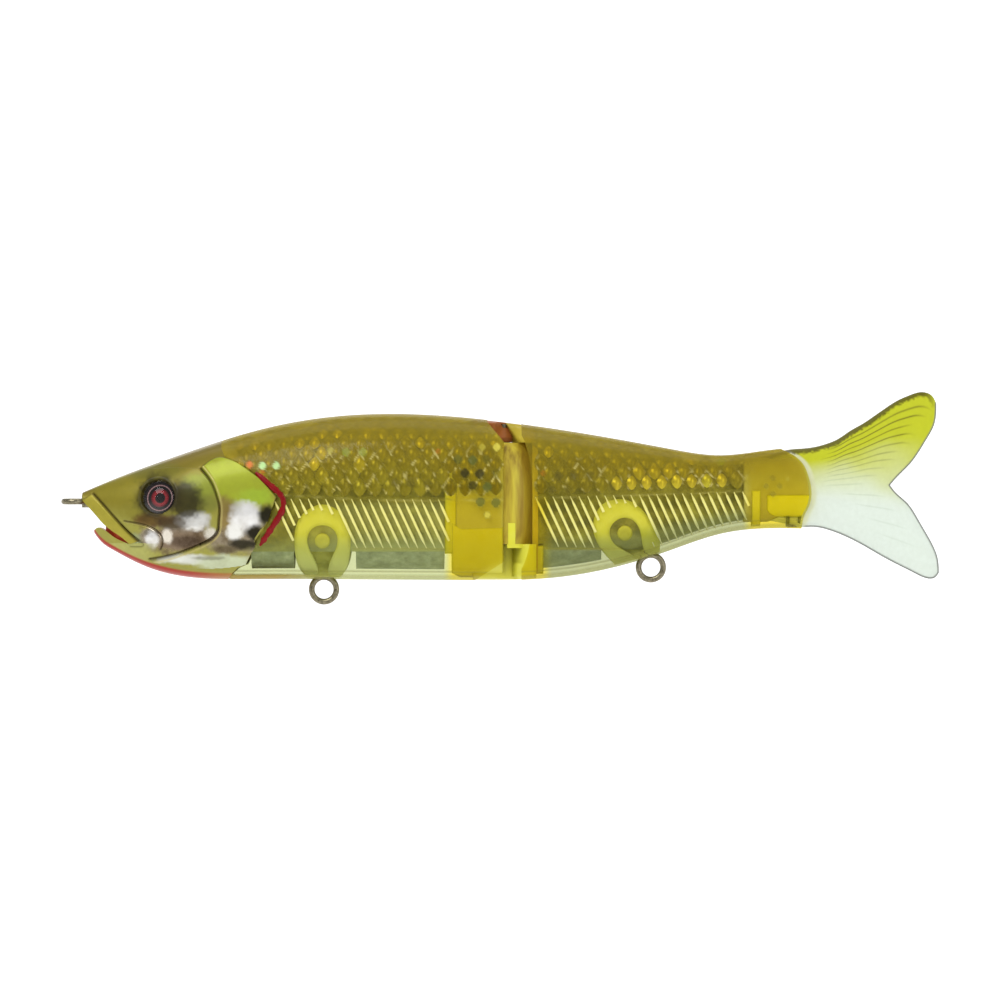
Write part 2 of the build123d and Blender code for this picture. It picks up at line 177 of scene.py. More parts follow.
def smoothStep(low, high, v):
    t = np.clip((v - low) / (high - low), 0, 1)
    return t * t * (3 - 2 * t)


def noise(p, scale, seed):  # smooth value noise on 3D points, 0 to 1
    p = np.asarray(p) / scale + seed * 17.13
    i = np.floor(p).astype(np.int64)
    f = p - i
    f = f * f * (3 - 2 * f)
    total = 0.0
    for c in range(8):
        o = np.array([c & 1, c >> 1 & 1, c >> 2 & 1])
        k = (i + o) @ np.array([73856093, 19349663, 83492791]) + seed * 911
        k = (k ^ (k >> 13)) * 1274126177 & 0x7FFFFFFF
        total = total + (k % 10007 / 10007) * np.prod(np.where(o, f, 1 - f), axis=-1)
    return total


def spots(x, z):  # places on the flank, with no width
    return np.stack([x, np.zeros_like(x), z], -1)


def laid(under, over, w):  # one colour laid over another, by a weight at each place
    return under * (1 - w[..., None]) + over * w[..., None]


def stroke(paint, cover, over, w):  # paint laid over, hiding at least as much as its weight
    return laid(paint, over, w), np.maximum(cover, w)


def softLine(distance, width):
    return np.exp(-(distance / width) ** 2)


def gridOf(columns, rows):
    return np.meshgrid(np.linspace(0, 1, columns), np.linspace(0, 1, rows), indexing="ij")


def gridFaces(rows, columns, flip=False, closed=False):
    r, c = np.meshgrid(np.arange(rows - 1), np.arange(columns if closed else columns - 1), indexing="ij")
    a = (r * columns + c).ravel()
    b = (r * columns + (c + 1) % columns).ravel()
    faces = np.stack([a, b, b + columns, a + columns], 1)
    return faces[:, ::-1] if flip else faces


def linked(name, data):  # a new object in the scene
    made = bpy.data.objects.new(name, data)
    bpy.context.scene.collection.objects.link(made)
    return made


def makePiece(name, verts, faces, material, attributes=None, smooth=True):
    mesh = bpy.data.meshes.new(name)
    mesh.from_pydata(np.asarray(verts, float).tolist(), [], [list(map(int, f)) for f in faces])
    for key, values in (attributes or {}).items():
        values = np.asarray(values, np.float32)
        if values.ndim == 2:
            layer = mesh.attributes.new(key, "FLOAT_COLOR", "POINT")
            full = np.ones((len(values), 4), np.float32)
            full[:, :values.shape[1]] = values
            layer.data.foreach_set("color", full.ravel())
        else:
            layer = mesh.attributes.new(key, "FLOAT", "POINT")
            layer.data.foreach_set("value", values.ravel())
    mesh.materials.append(material)
    mesh.update()
    if smooth:
        mesh.shade_smooth()
    return linked(name, mesh)


def weld(piece, distance=1e-6):
    b = bmesh.new()
    b.from_mesh(piece.data)
    bmesh.ops.remove_doubles(b, verts=b.verts, dist=distance)
    bmesh.ops.recalc_face_normals(b, faces=b.faces)
    b.to_mesh(piece.data)
    b.free()
    return piece


def faceOut(piece, side):  # turns an open sheet so that its faces look away from the middle
    total = sum(p.normal.y * p.area for p in piece.data.polygons)
    if total * side < 0:
        piece.data.flip_normals()
    return piece


def sheetPiece(name, side, x, y, z, material, attributes=None, flip=False, closed=False):
    points = np.stack([x, y * side, z], -1).reshape(-1, 3)
    faces = gridFaces(*x.shape, flip=flip, closed=closed)
    return faceOut(makePiece(name, points, faces, material, attributes), side)


def fit(piece, slot, body=None, *replaced):  # the body a piece rides on, the nodes it stands for; its slot is not used
    if body:
        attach(piece, body)
    if replaced:
        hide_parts(*replaced)
    return piece


def srgb(r, g, b):
    c = np.array([r, g, b]) / 255
    return tuple(np.where(c <= 0.04045, c / 12.92, ((c + 0.055) / 1.055) ** 2.4))


def ink(r, g, b):
    return np.array(srgb(r, g, b))


sides = (("Left", -1), ("Right", 1))
looks = {"metal": "Metallic", "gloss": "Specular IOR Level", "coat": "Coat Weight", "coatRough": "Coat Roughness",
         "glow": "Emission Color", "glowing": "Emission Strength"}


class Shader:  # a short hand for wiring material nodes
    def __init__(self, name):
        self.material = bpy.data.materials.new(name)
        self.material.use_nodes = True
        self.tree = self.material.node_tree
        self.tree.nodes.clear()
        self.output = self.tree.nodes.new("ShaderNodeOutputMaterial")

    def node(self, kind, inputs=None, **settings):
        made = self.tree.nodes.new(kind)
        for key, value in settings.items():
            setattr(made, key, value)
        for key, value in (inputs or {}).items():
            if isinstance(value, bpy.types.NodeSocket):
                self.tree.links.new(value, made.inputs[key])
            else:
                if isinstance(value, tuple) and len(value) == 3 and made.inputs[key].type == "RGBA":
                    value = (*value, 1.0)
                made.inputs[key].default_value = value
        return made

    def fac(self, name):
        return self.node("ShaderNodeAttribute", attribute_name=name).outputs["Fac"]

    def colour(self, name):
        return self.node("ShaderNodeAttribute", attribute_name=name).outputs["Color"]

    def place(self):
        return self.node("ShaderNodeTexCoord").outputs["Object"]

    def axes(self):
        return self.node("ShaderNodeSeparateXYZ", {0: self.place()}).outputs

    def noise(self, scale, detail=3.0, rough=0.55, place=None):
        return self.node("ShaderNodeTexNoise", {
            "Vector": self.place() if place is None else place, "Scale": scale, "Detail": detail,
            "Roughness": rough}).outputs["Fac"]

    def ramp(self, fac, stops):
        made = self.node("ShaderNodeValToRGB", {"Fac": fac})
        elements = made.color_ramp.elements
        while len(elements) < len(stops):
            elements.new(0.5)
        for e, (at, colour) in zip(elements, stops):
            e.position = at
            e.color = (*srgb(*colour), 1.0)
        return made.outputs["Color"]

    def between(self, value, low, high, **to):
        return self.node("ShaderNodeMapRange", {"Value": value, "From Min": low, "From Max": high, **to}).outputs[0]
    def math(self, operation, a, b=0.0, c=0.0):
        return self.node("ShaderNodeMath", {0: a, 1: b, 2: c}, operation=operation).outputs[0]

    def mix(self, fac, a, b, blend="MIX"):
        made = self.node("ShaderNodeMix", data_type="RGBA", blend_type=blend)
        for socket, value in ((0, fac), (6, a), (7, b)):
            if isinstance(value, bpy.types.NodeSocket):
                self.tree.links.new(value, made.inputs[socket])
            else:
                made.inputs[socket].default_value = (*value, 1.0) if isinstance(value, tuple) else value
        return made.outputs[2]

    def sheen(self, flat, edge):  # how much gloss shows face on, and how much more at the edge
        facing = self.node("ShaderNodeLayerWeight", {"Blend": 0.5}).outputs["Facing"]
        return self.math("MULTIPLY_ADD", self.math("POWER", facing, 3.0), edge, flat)

    def bump(self, height, strength, distance):
        return self.node("ShaderNodeBump", {"Height": height, "Strength": strength, "Distance": distance}).outputs[0]

    def solid(self, colour, rough, normal=None, **more):
        inputs = {"Base Color": colour, "Roughness": rough}
        if normal is not None:
            inputs["Normal"] = normal
        inputs.update((looks[key], value) for key, value in more.items())
        return self.node("ShaderNodeBsdfPrincipled", inputs).outputs[0]

    def clear(self, colour):
        return self.node("ShaderNodeBsdfTransparent", {"Color": colour}).outputs[0]

    def over(self, fac, under, upper):
        return self.node("ShaderNodeMixShader", {0: fac, 1: under, 2: upper}).outputs[0]

    def finish(self, shader):
        self.tree.links.new(shader, self.output.inputs["Surface"])
        return self.material


def clearShellFinish():  # clear tinted plastic, with airbrushed paint over it where skinCover says
    s = Shader("clearAmberShell")
    paint = s.mix(s.math("MULTIPLY", s.noise(900.0, 4.0), 0.35), s.colour("skinPaint"), (0.10, 0.085, 0.012))
    normal = s.bump(s.noise(420.0, 2.0), 0.12, 0.0002)
    body = s.over(s.fac("skinCover"), s.clear(s.colour("skinTint")), s.solid(paint, 0.40, normal, gloss=0.08))
    shine = s.node("ShaderNodeBsdfGlossy", {"Roughness": 0.14, "Normal": normal, "Color": (0.95, 0.95, 0.80)})
    return s.finish(s.over(s.sheen(0.008, 0.02), body, shine.outputs[0]))


def scaleFinish():  # pearly holographic plates under the shell
    s = Shader("holoScale")
    # the top stops of the ramp are the colours of painted glints
    colour = s.ramp(s.fac("shade"), [(0.0, (112, 100, 30)), (0.45, (150, 140, 48)), (0.7, (196, 180, 62)),
                                     (0.82, (235, 216, 90)), (0.9, (170, 226, 110)), (0.96, (244, 190, 90))])
    return s.finish(s.solid(colour, 0.28, s.bump(s.noise(2600.0, 2.0), 0.25, 0.0001), metal=0.55))


def ribFinish():
    s = Shader("pearlRib")
    colour = s.mix(s.noise(700.0, 2.0), srgb(255, 253, 236), srgb(244, 240, 190))
    return s.finish(s.solid(colour, 0.25, coat=0.5))


def foilFinish():
    s = Shader("flashFoil")
    colour = s.ramp(s.noise(260.0, 4.0, 0.6), [(0.30, (84, 80, 28)), (0.5, (128, 120, 44)), (0.72, (176, 170, 84))])
    colour = s.mix(s.fac("foilPale"), colour, srgb(186, 190, 150))
    fine = s.node("ShaderNodeTexVoronoi", {"Vector": s.place(), "Scale": 900.0}).outputs["Distance"]
    return s.finish(s.solid(colour, 0.3, s.bump(fine, 0.4, 0.00015), metal=0.8))


def frostedFinish(name, colour, paler, through=0.05, feet=0.0):  # cloudy plastic, paler toward its feet
    s = Shader(name)
    base = s.mix(s.noise(380.0, 3.0), srgb(*colour), srgb(*paler))
    low = s.between(s.axes()[2], -0.0065, -0.0135)
    base = s.mix(s.math("MULTIPLY", low, feet), base, srgb(230, 234, 186))
    body = s.solid(base, 0.45, s.bump(s.noise(1500.0, 3.0), 0.3, 0.0001), gloss=0.2)
    shown = s.math("MULTIPLY_ADD", s.fac("thin"), through - 1, 1 - through)
    return s.finish(s.over(shown, s.clear(srgb(*paler)), body))


def knuckleFinish():  # drawn-out streaks down the moulded hinge barrel, darker toward the rear
    s = Shader("amberKnuckle")
    axes = s.axes()
    drawn = s.node("ShaderNodeCombineXYZ", {0: axes[0], 1: axes[1], 2: s.math("MULTIPLY", axes[2], 0.10)})
    streak = s.noise(620.0, 3.0, 0.6, drawn.outputs[0])
    colour = s.ramp(streak, [(0.32, (138, 114, 30)), (0.48, (176, 154, 44)), (0.66, (200, 184, 54))])
    rear = s.between(axes[0], hingeX + 0.0022, hingeX + 0.0036)
    colour = s.mix(s.math("MULTIPLY", rear, 0.6), colour, srgb(138, 108, 34))
    return s.finish(s.solid(colour, 0.4, s.bump(streak, 0.5, 0.0002), gloss=0.3))


def wireFinish():
    s = Shader("stainlessWire")
    drawn = s.noise(1800.0, 3.0)
    colour = s.ramp(drawn, [(0.3, (104, 98, 78)), (0.7, (158, 150, 124))])
    rough = s.math("MULTIPLY_ADD", drawn, 0.22, 0.18)
    return s.finish(s.solid(colour, rough, s.bump(drawn, 0.15, 0.00005), metal=1.0))


def ballastFinish():
    s = Shader("ballastMetal")
    cast = s.noise(520.0, 4.0, 0.65)
    colour = s.ramp(cast, [(0.3, (150, 158, 142)), (0.55, (178, 186, 170)), (0.75, (204, 210, 194))])
    return s.finish(s.solid(colour, 0.55, s.bump(cast, 0.5, 0.0002), metal=0.2))


def headFinish():  # mirror plating whose colour holds painted reflections and painted highlights, with paint over it where headCover says
    s = Shader("platedHead")
    paint = s.colour("headPaintAndReflections")
    # painted reflection: a mottle of grey and white multiplied into the plating's colour
    mottledReflection = s.ramp(s.noise(330.0, 5.0, 0.62), [(0.34, (176, 164, 140)), (0.52, (252, 250, 244))])
    dents = s.bump(s.noise(300.0, 2.0), 0.25, 0.0004)
    plated = s.solid(s.mix(0.8, paint, mottledReflection, "MULTIPLY"), 0.16, dents, metal=0.9)
    colour = s.mix(s.math("MULTIPLY", s.noise(800.0, 3.0), 0.3), paint, (0.12, 0.10, 0.02))
    painted = s.solid(colour, 0.34, metal=0.2, coat=0.12, coatRough=0.1, gloss=0.15)
    return s.finish(s.over(s.fac("headCover"), plated, painted))


def glossPaint(name, colour, darker, rough=0.3):
    s = Shader(name)
    base = s.mix(s.noise(900.0, 3.0), srgb(*colour), srgb(*darker))
    normal = s.bump(s.noise(1400.0, 2.0), 0.15, 0.0001)
    return s.finish(s.solid(base, rough, normal, coat=0.15, coatRough=0.08, gloss=0.2))


def eyeFinish():  # a dark pupil, a red ring and a pale outer line, with faint spokes
    s = Shader("eyePrint")
    rings = s.ramp(s.fac("eyeRadius"), [
        (0.0, (12, 8, 10)), (0.30, (14, 8, 12)), (0.36, (176, 44, 52)), (0.52, (120, 22, 34)), (0.60, (16, 10, 12)),
        (0.74, (20, 14, 16)), (0.79, (190, 150, 150)), (0.84, (26, 18, 20)), (1.0, (18, 12, 14))])
    turn = s.node("ShaderNodeCombineXYZ", {0: s.fac("eyeTurn"), 1: 0.0, 2: 0.0}).outputs[0]
    spokes = s.node("ShaderNodeTexWave", {"Vector": turn, "Scale": 9.0, "Distortion": 2.0}).outputs["Fac"]
    colour = s.mix(s.math("MULTIPLY", spokes, 0.35), rings, (0.02, 0.005, 0.008), "MULTIPLY")
    return s.finish(s.solid(colour, 0.3, gloss=0.2))


def lensFinish():
    s = Shader("eyeResin")
    shine = s.node("ShaderNodeBsdfGlossy", {"Roughness": 0.03}).outputs[0]
    return s.finish(s.over(s.sheen(0.018, 0.25), s.clear((0.97, 0.96, 0.95)), shine))


def tailFinish():
    s = Shader("softTail")
    paint, fine = s.colour("tailPaint"), s.noise(1200.0, 3.0)
    colour = s.mix(s.math("MULTIPLY", fine, 0.25), paint, (0.5, 0.5, 0.4), "MULTIPLY")
    body = s.solid(colour, 0.42, s.bump(fine, 0.2, 0.0001), gloss=0.2)
    return s.finish(s.over(s.fac("tailCover"), s.clear(paint), body))


clearShell = clearShellFinish()
holoScale = scaleFinish()
pearlRib = ribFinish()
flashFoil = foilFinish()
amberKnuckle = knuckleFinish()
# cloudy plastics: colour, paler colour, how clear they are, and how much paler at the feet
frosted = {name: frostedFinish(name, *look) for name, look in {
    "lemonBoss": ((212, 208, 70), (230, 228, 126), 0.05, 0.8),
    "lemonFloor": ((190, 182, 66), (218, 214, 110), 0.05, 0.5),
    "yellowWall": ((182, 158, 42), (204, 186, 60)),
    "brightWall": ((224, 220, 40), (228, 226, 90)),
    "blockWall": ((206, 198, 50), (216, 212, 90)),
    "olivePlate": ((184, 176, 116), (202, 196, 134)),
    "mossPost": ((112, 118, 44), (136, 140, 66), 0.10),
    # the upper ear's dark reddish brown is painted shade of the hollow in the joint
    "earPaintedShade": ((146, 76, 30), (166, 104, 44)),
}.items()}
stainlessWire = wireFinish()
ballastMetal = ballastFinish()
platedHead = headFinish()
gillRed = glossPaint("gillRed", (150, 0, 6), (104, 0, 4))
mouthRed = glossPaint("mouthRed", (214, 96, 60), (168, 52, 34), 0.5)
eyePrint = eyeFinish()
eyeResin = lensFinish()
softTail = tailFinish()
print("finishes made")


def newTree(name, sockets):
    tree = bpy.data.node_groups.new(name, "GeometryNodeTree")
    tree.interface.new_socket("Geometry", in_out="INPUT", socket_type="NodeSocketGeometry")
    for label, kind in sockets:
        tree.interface.new_socket(label, in_out="INPUT", socket_type=kind)
    tree.interface.new_socket("Geometry", in_out="OUTPUT", socket_type="NodeSocketGeometry")
    return tree, tree.nodes.new("NodeGroupInput").outputs, tree.nodes.new("NodeGroupOutput").inputs


def geoNode(tree, kind, inputs=None, **settings):
    made = tree.nodes.new(kind)
    for key, value in settings.items():
        setattr(made, key, value)
    for key, value in (inputs or {}).items():
        if isinstance(value, bpy.types.NodeSocket):
            tree.links.new(value, made.inputs[key])
        else:
            made.inputs[key].default_value = value
    return made


def named(tree, name, kind="FLOAT"):
    made = geoNode(tree, "GeometryNodeInputNamedAttribute", {"Name": name}, data_type=kind)
    return next(o for o in made.outputs if o.name == "Attribute" and o.enabled)


def plateTree():  # lays one scale on every point, facing out of the body
    tree, given, out = newTree("layScales", [
        ("Scale Object", "NodeSocketObject"), ("Length", "NodeSocketFloat"), ("Width", "NodeSocketFloat"),
        ("Tilt", "NodeSocketFloat"), ("Seed", "NodeSocketInt"), ("Material", "NodeSocketMaterial")])
    plate = geoNode(tree, "GeometryNodeObjectInfo", {"Object": given["Scale Object"]})
    turn = geoNode(tree, "FunctionNodeAxesToRotation", {
        "Primary Axis": named(tree, "facing", "FLOAT_VECTOR"),
        "Secondary Axis": named(tree, "heading", "FLOAT_VECTOR")},
        primary_axis="Z", secondary_axis="X")
    stretch = geoNode(tree, "ShaderNodeCombineXYZ", {"X": given["Length"], "Y": given["Width"], "Z": given["Width"]})
    sized = geoNode(tree, "ShaderNodeVectorMath", {
        0: stretch.outputs[0], "Scale": named(tree, "size")}, operation="SCALE")
    laid = geoNode(tree, "GeometryNodeInstanceOnPoints", {
        "Points": given["Geometry"], "Instance": plate.outputs["Geometry"],
        "Rotation": turn.outputs[0], "Scale": sized.outputs[0]})
    low = geoNode(tree, "ShaderNodeMath", {0: given["Tilt"], 1: -1.0}, operation="MULTIPLY")
    rock = geoNode(tree, "FunctionNodeRandomValue", {"Seed": given["Seed"]}, data_type="FLOAT_VECTOR")
    ends = [i for i in rock.inputs if i.enabled and i.name in ("Min", "Max")]
    for socket, source in zip(ends, (low.outputs[0], given["Tilt"])):
        tree.links.new(source, socket)
    rocked = geoNode(tree, "GeometryNodeRotateInstances", {
        "Instances": laid.outputs[0], "Rotation": next(o for o in rock.outputs if o.enabled)})
    real = geoNode(tree, "GeometryNodeRealizeInstances", {"Geometry": rocked.outputs[0]})
    made = geoNode(tree, "GeometryNodeSetMaterial", {"Geometry": real.outputs[0], "Material": given["Material"]})
    tree.links.new(made.outputs[0], out["Geometry"])
    return tree


def beadTree():  # sweeps a round bead along every run of edges, thinned by its thick attribute
    tree, given, out = newTree("sweepBeads", [
        ("Radius", "NodeSocketFloat"), ("Sides", "NodeSocketInt"), ("Material", "NodeSocketMaterial")])
    runs = geoNode(tree, "GeometryNodeMeshToCurve", {"Mesh": given["Geometry"]})
    ring = geoNode(tree, "GeometryNodeCurvePrimitiveCircle", {
        "Resolution": given["Sides"], "Radius": given["Radius"]})
    sweep = tree.nodes.new("GeometryNodeCurveToMesh")
    if "Scale" in sweep.inputs:
        tree.links.new(named(tree, "thick"), sweep.inputs["Scale"])
        tree.links.new(runs.outputs[0], sweep.inputs["Curve"])
    else:
        thin = geoNode(tree, "GeometryNodeSetCurveRadius", {"Curve": runs.outputs[0], "Radius": named(tree, "thick")})
        tree.links.new(thin.outputs[0], sweep.inputs["Curve"])
    tree.links.new(ring.outputs[0], sweep.inputs["Profile Curve"])
    sweep.inputs["Fill Caps"].default_value = True
    real = geoNode(tree, "GeometryNodeRealizeInstances", {"Geometry": sweep.outputs[0]})
    made = geoNode(tree, "GeometryNodeSetMaterial", {"Geometry": real.outputs[0], "Material": given["Material"]})
    tree.links.new(made.outputs[0], out["Geometry"])
    return tree


def grown(name, base, tree, values):  # runs a tree on a base mesh and keeps a plain mesh
    step = base.modifiers.new("grow", "NODES")
    step.node_group = tree
    for item in tree.interface.items_tree:
        if item.in_out == "INPUT" and item.name in values:
            step[item.identifier] = values[item.name]
    graph = bpy.context.evaluated_depsgraph_get()
    seen = base.evaluated_get(graph)
    mesh = bpy.data.meshes.new_from_object(seen, preserve_all_data_layers=True, depsgraph=graph)
    mesh.name = name
    mesh.shade_smooth()
    piece = linked(name, mesh)
    bpy.data.objects.remove(base)
    return piece


def pointBase(name, points, attributes, edges=()):
    mesh = bpy.data.meshes.new(name)
    mesh.from_pydata(np.asarray(points).tolist(), list(edges), [])
    for key, values in attributes.items():
        values = np.asarray(values, np.float32)
        kind, field = ("FLOAT_VECTOR", "vector") if values.ndim == 2 else ("FLOAT", "value")
        mesh.attributes.new(key, kind, "POINT").data.foreach_set(field, values.ravel())
    return linked(name, mesh)


layScales, sweepBeads = plateTree(), beadTree()
print("node trees made")

joint = {
    "upperEar": float(backLine(hingeX)) - 0.0040,
    "lowerEar": float(bellyLine(hingeX)) + 0.0070,
    "slit": 0.00012,
    "shoulderSlope": math.tan(math.radians(30.0)),
    "earRadius": 0.0032,
}
jointEdge = [(float(bellyLine(hingeX)), hingeX - 0.0058), (float(bellyLine(hingeX)) + 0.0037, hingeX - 0.0001),
             (joint["upperEar"], hingeX - 0.0001), (float(backLine(hingeX)), hingeX - 0.0034)]


def frontEdgeX(z):
    levels, xs = zip(*jointEdge)
    return np.interp(z, levels, xs)


def skinArc(x, inset=0.0):  # distance round the section from the lateral line, up positive, at each tTable
    y, z = skinPoint(np.full(tTable.shape, x), tTable, inset)
    run = np.concatenate([[0], np.cumsum(np.hypot(np.diff(y), np.diff(z)))])
    return np.interp(-float(lateralLine(x)), -z, run) - run


scaleLayout = {"pitch": 0.00295, "row": 0.00225, "relief": 0.00003}
ribLayout = {"pitch": 0.00169, "lean": math.tan(math.radians(25.0))}


def scaleNet(u, v):  # nearness to the edge between scales, 0 on the edge
    pitch, row = scaleLayout["pitch"], scaleLayout["row"]
    best, second = np.full(u.shape, 9.0), np.full(u.shape, 9.0)
    for dr in (-1, 0, 1):
        r = np.round(v / row) + dr
        shift = (r % 2) * 0.5 * pitch
        for dc in (-1, 0, 1):
            c = np.round((u - shift) / pitch) + dc
            d = (np.abs(u - shift - c * pitch) / (0.5 * pitch)) ** 1.4 + (np.abs(v - r * row) / row) ** 1.4
            second = np.where(d < best, best, np.minimum(second, d))
            best = np.minimum(best, d)
    return second - best


skinInks = {name: ink(*levels) for name, levels in {
    "olive": (154, 136, 32), "amber": (178, 158, 38), "gold": (184, 172, 48), "keel": (196, 204, 130),
    "frontKeel": (172, 140, 44), "fineLine": (96, 94, 44), "paintedGlint": (244, 230, 140),
}.items()}
skinTints = {name: np.array(tint) for name, tint in {
    "top": (0.88, 0.78, 0.20), "middle": (0.97, 0.95, 0.62), "low": (0.76, 0.79, 0.58), "joint": (0.92, 0.82, 0.18),
}.items()}
skinLines = {"bellyUp": 0.0016, "bellyWidth": 0.00016, "ballastTop": -0.0093, "ballastWidth": 0.00018,
             "lateralGrooveWidth": 0.00014}
# the two strokes along the flank's lateral line, painted shade in its groove and a painted highlight on its lower
# edge: where, colour, strength
lateralGrooveStrokes = [(0.00005, (84, 76, 26), 0.55), (-0.00028, (226, 218, 140), 0.40)]


def bodyColour(x, z):  # airbrushed paint, the plastic's own tint, and how much the paint hides
    p, high = percentX(x), highOn(x, z)
    drift = noise(spots(x, z), 0.006, 5) - 0.5
    paint = laid(skinInks["gold"], skinInks["amber"], smoothStep(0.45, 0.78, high + 0.15 * drift))
    paint = laid(paint, skinInks["olive"], smoothStep(0.80, 0.985, high))
    head = 1 - smoothStep(16.0, 21.0, p)
    cover = 0.03 + 0.28 * smoothStep(0.45, 0.74, high) + 0.36 * smoothStep(0.76, 0.98, high)
    cover = np.maximum(cover, head * smoothStep(0.6, 0.8, high) * 0.96)
    tint = laid(skinTints["low"], skinTints["middle"], smoothStep(0.16, 0.34, high))
    tint = laid(tint, skinTints["top"], smoothStep(0.55, 0.95, high))
    tint = tint * (1 - 0.12 * (smoothStep(50.0, 54.0, p) * (1 - smoothStep(0.16, 0.30, high)))[..., None])
    yellow = smoothStep(42.0, 43.5, p) * (1 - smoothStep(53.5, 55.0, p)) + smoothStep(77.0, 78.5, p)
    tint = laid(tint, skinTints["joint"], yellow * 0.8)
    keel = 1 - smoothStep(0.0006, 0.0013, z - bellyLine(x))
    front = 1 - smoothStep(22.0, 30.0, p)
    paint = laid(paint, laid(skinInks["keel"], skinInks["frontKeel"], front), keel * (0.35 + 0.5 * front))
    cover = np.maximum(cover, keel * (0.30 + 0.6 * front))
    inBallast = np.maximum((p > 31.6) * (p < 42.4), (p > 54) * (p < 63))
    belly = 0.35 * softLine(z - bellyLine(x) - skinLines["bellyUp"], skinLines["bellyWidth"])
    ballast = 0.4 * inBallast * softLine(z - skinLines["ballastTop"], skinLines["ballastWidth"])
    for line in (belly, ballast):
        paint, cover = stroke(paint, cover, skinInks["fineLine"], line)
    return paint, tint, np.clip(cover, 0, 1)


cellInk = {"dark": (30, 28, 12), "green": (80, 94, 42), "olive": (88, 80, 28), "gold": (226, 214, 84),
           "lime": (170, 190, 70), "flame": (240, 124, 44), "mint": (204, 250, 170)}
# single scales that stand out, the flame and mint ones painted glints: place along and up in percent, size, ink,
# strength
cellMarks = [
    (44.7, 16.9, 1.0, "dark", 0.92), (46.4, 16.6, 1.0, "dark", 0.92), (45.6, 9.5, 1.0, "dark", 0.85),
    (45.6, 24.7, 1.0, "green", 0.85),
    (43.9, 25.2, 0.95, "green", 0.7), (47.2, 25.2, 0.9, "green", 0.5), (47.3, 8.7, 1.0, "green", 0.85),
    (46.5, -0.2, 1.0, "green", 0.8),
    (48.3, -0.6, 1.0, "green", 0.8), (48.4, 16.9, 0.9, "green", 0.45), (47.3, -8.0, 0.7, "gold", 0.8),
    (46.7, 32.6, 0.7, "gold", 0.6),
    (48.4, 32.6, 0.8, "gold", 0.9), (19.7, 22.0, 0.75, "flame", 0.9), (21.2, 21.4, 0.8, "mint", 0.95),
    (22.8, 21.4, 0.8, "mint", 0.9),
    (21.2, 17.6, 0.5, "flame", 0.7), (36.6, 11.1, 0.9, "olive", 0.7), (38.4, 11.1, 0.9, "olive", 0.7),
    (40.4, 11.1, 0.9, "olive", 0.6),
    (30.9, 29.5, 0.9, "lime", 0.6), (32.9, 29.5, 0.9, "lime", 0.6), (29.1, 30.6, 0.7, "gold", 0.6),
    (41.6, 30.0, 0.6, "flame", 0.4),
    (55.6, 15.1, 0.9, "olive", 0.75), (57.3, 15.1, 0.9, "olive", 0.75), (59.3, 16.0, 0.8, "olive", 0.6),
    (54.8, 6.8, 0.9, "olive", 0.75),
    (56.7, 6.8, 0.9, "olive", 0.7), (79.8, 9.3, 0.6, "olive", 0.5), (81.4, 9.3, 0.6, "olive", 0.5),
    (80.6, 14.2, 0.6, "olive", 0.5), (80.6, 4.5, 0.6, "olive", 0.5), (82.3, 13.6, 0.5, "gold", 0.4),
    (61.7, 7.7, 0.9, "olive", 0.6), (53.8, 16.9, 0.6, "flame", 0.35),
]


def markCells(x, z, paint, cover):
    p, lv = percentX(x), percentZ(z)
    for p0, l0, size, name, strength in cellMarks:
        d = (np.abs(p - p0) / (0.70 * size)) ** 1.5 + (np.abs(lv - l0) / (3.9 * size)) ** 1.5
        paint, cover = stroke(paint, cover, ink(*cellInk[name]), strength * (1 - smoothStep(0.55, 1.0, d)))
    return paint, cover


def skinSheet(name, side, startX, endX, columns, rows):
    t = np.linspace(0, 1, rows)
    xs = xe = np.full(rows, hingeX)
    for _ in range(6):  # the ends follow the joint's edges, which depend on the level
        xs, xe = startX(*skinPoint(xs, t)), endX(*skinPoint(xe, t))
    t = t[None, :].repeat(columns, 0)
    f = np.linspace(0, 1, columns)[:, None]
    x = xs[None, :] * (1 - f) + xe[None, :] * f
    y, z = skinPoint(x, t)
    arcs = np.array([np.interp(t[i], tTable, skinArc(x[i].mean())) for i in range(columns)])
    place = np.stack([x, y, z], -1)
    points = place + sheetNormals(x, y, z) * skinRelief(x, z, arcs)[..., None]
    points[:, 0, 1] = points[:, -1, 1] = 0.0
    paint, tint, cover = bodyColour(x, z)
    high = highOn(x, z)
    fade = smoothStep(0.0003, 0.0012, arcs) * (1 - 0.75 * smoothStep(0.80, 0.97, high)) * scaledZone(x)
    line = (1 - smoothStep(0.10, 0.62, scaleNet(x - noseX, arcs))) * fade * (0.55 + 0.45 * noise(place, 0.004, 8))
    paint = paint * (1 - 0.52 * line[..., None])
    cover = np.clip(cover + 0.45 * line, 0, 0.95)
    # painted glints: bright specks laid on the scale net, standing in for light caught by the scales
    paintedGlint = line * smoothStep(0.58, 0.70, noise(place, 0.0007, 21)) * (1 - smoothStep(0.74, 0.86, high))
    paint = laid(paint, skinInks["paintedGlint"], 0.9 * paintedGlint)
    cover = np.maximum(cover, 0.85 * paintedGlint)
    # painted shade and a painted highlight along the lateral line
    for at, shade, strength in lateralGrooveStrokes:
        lateralGrooveStroke = strength * softLine(arcs - at, skinLines["lateralGrooveWidth"]) * scaledZone(x)
        paint, cover = stroke(paint, cover, ink(*shade), lateralGrooveStroke)
    paint, cover = markCells(x, z, paint, cover)
    points[..., 1] *= side
    return makePiece(name, points.reshape(-1, 3), gridFaces(columns, rows, flip=side > 0), clearShell, {
        "skinPaint": paint.reshape(-1, 3), "skinTint": tint.reshape(-1, 3), "skinCover": cover.ravel()})


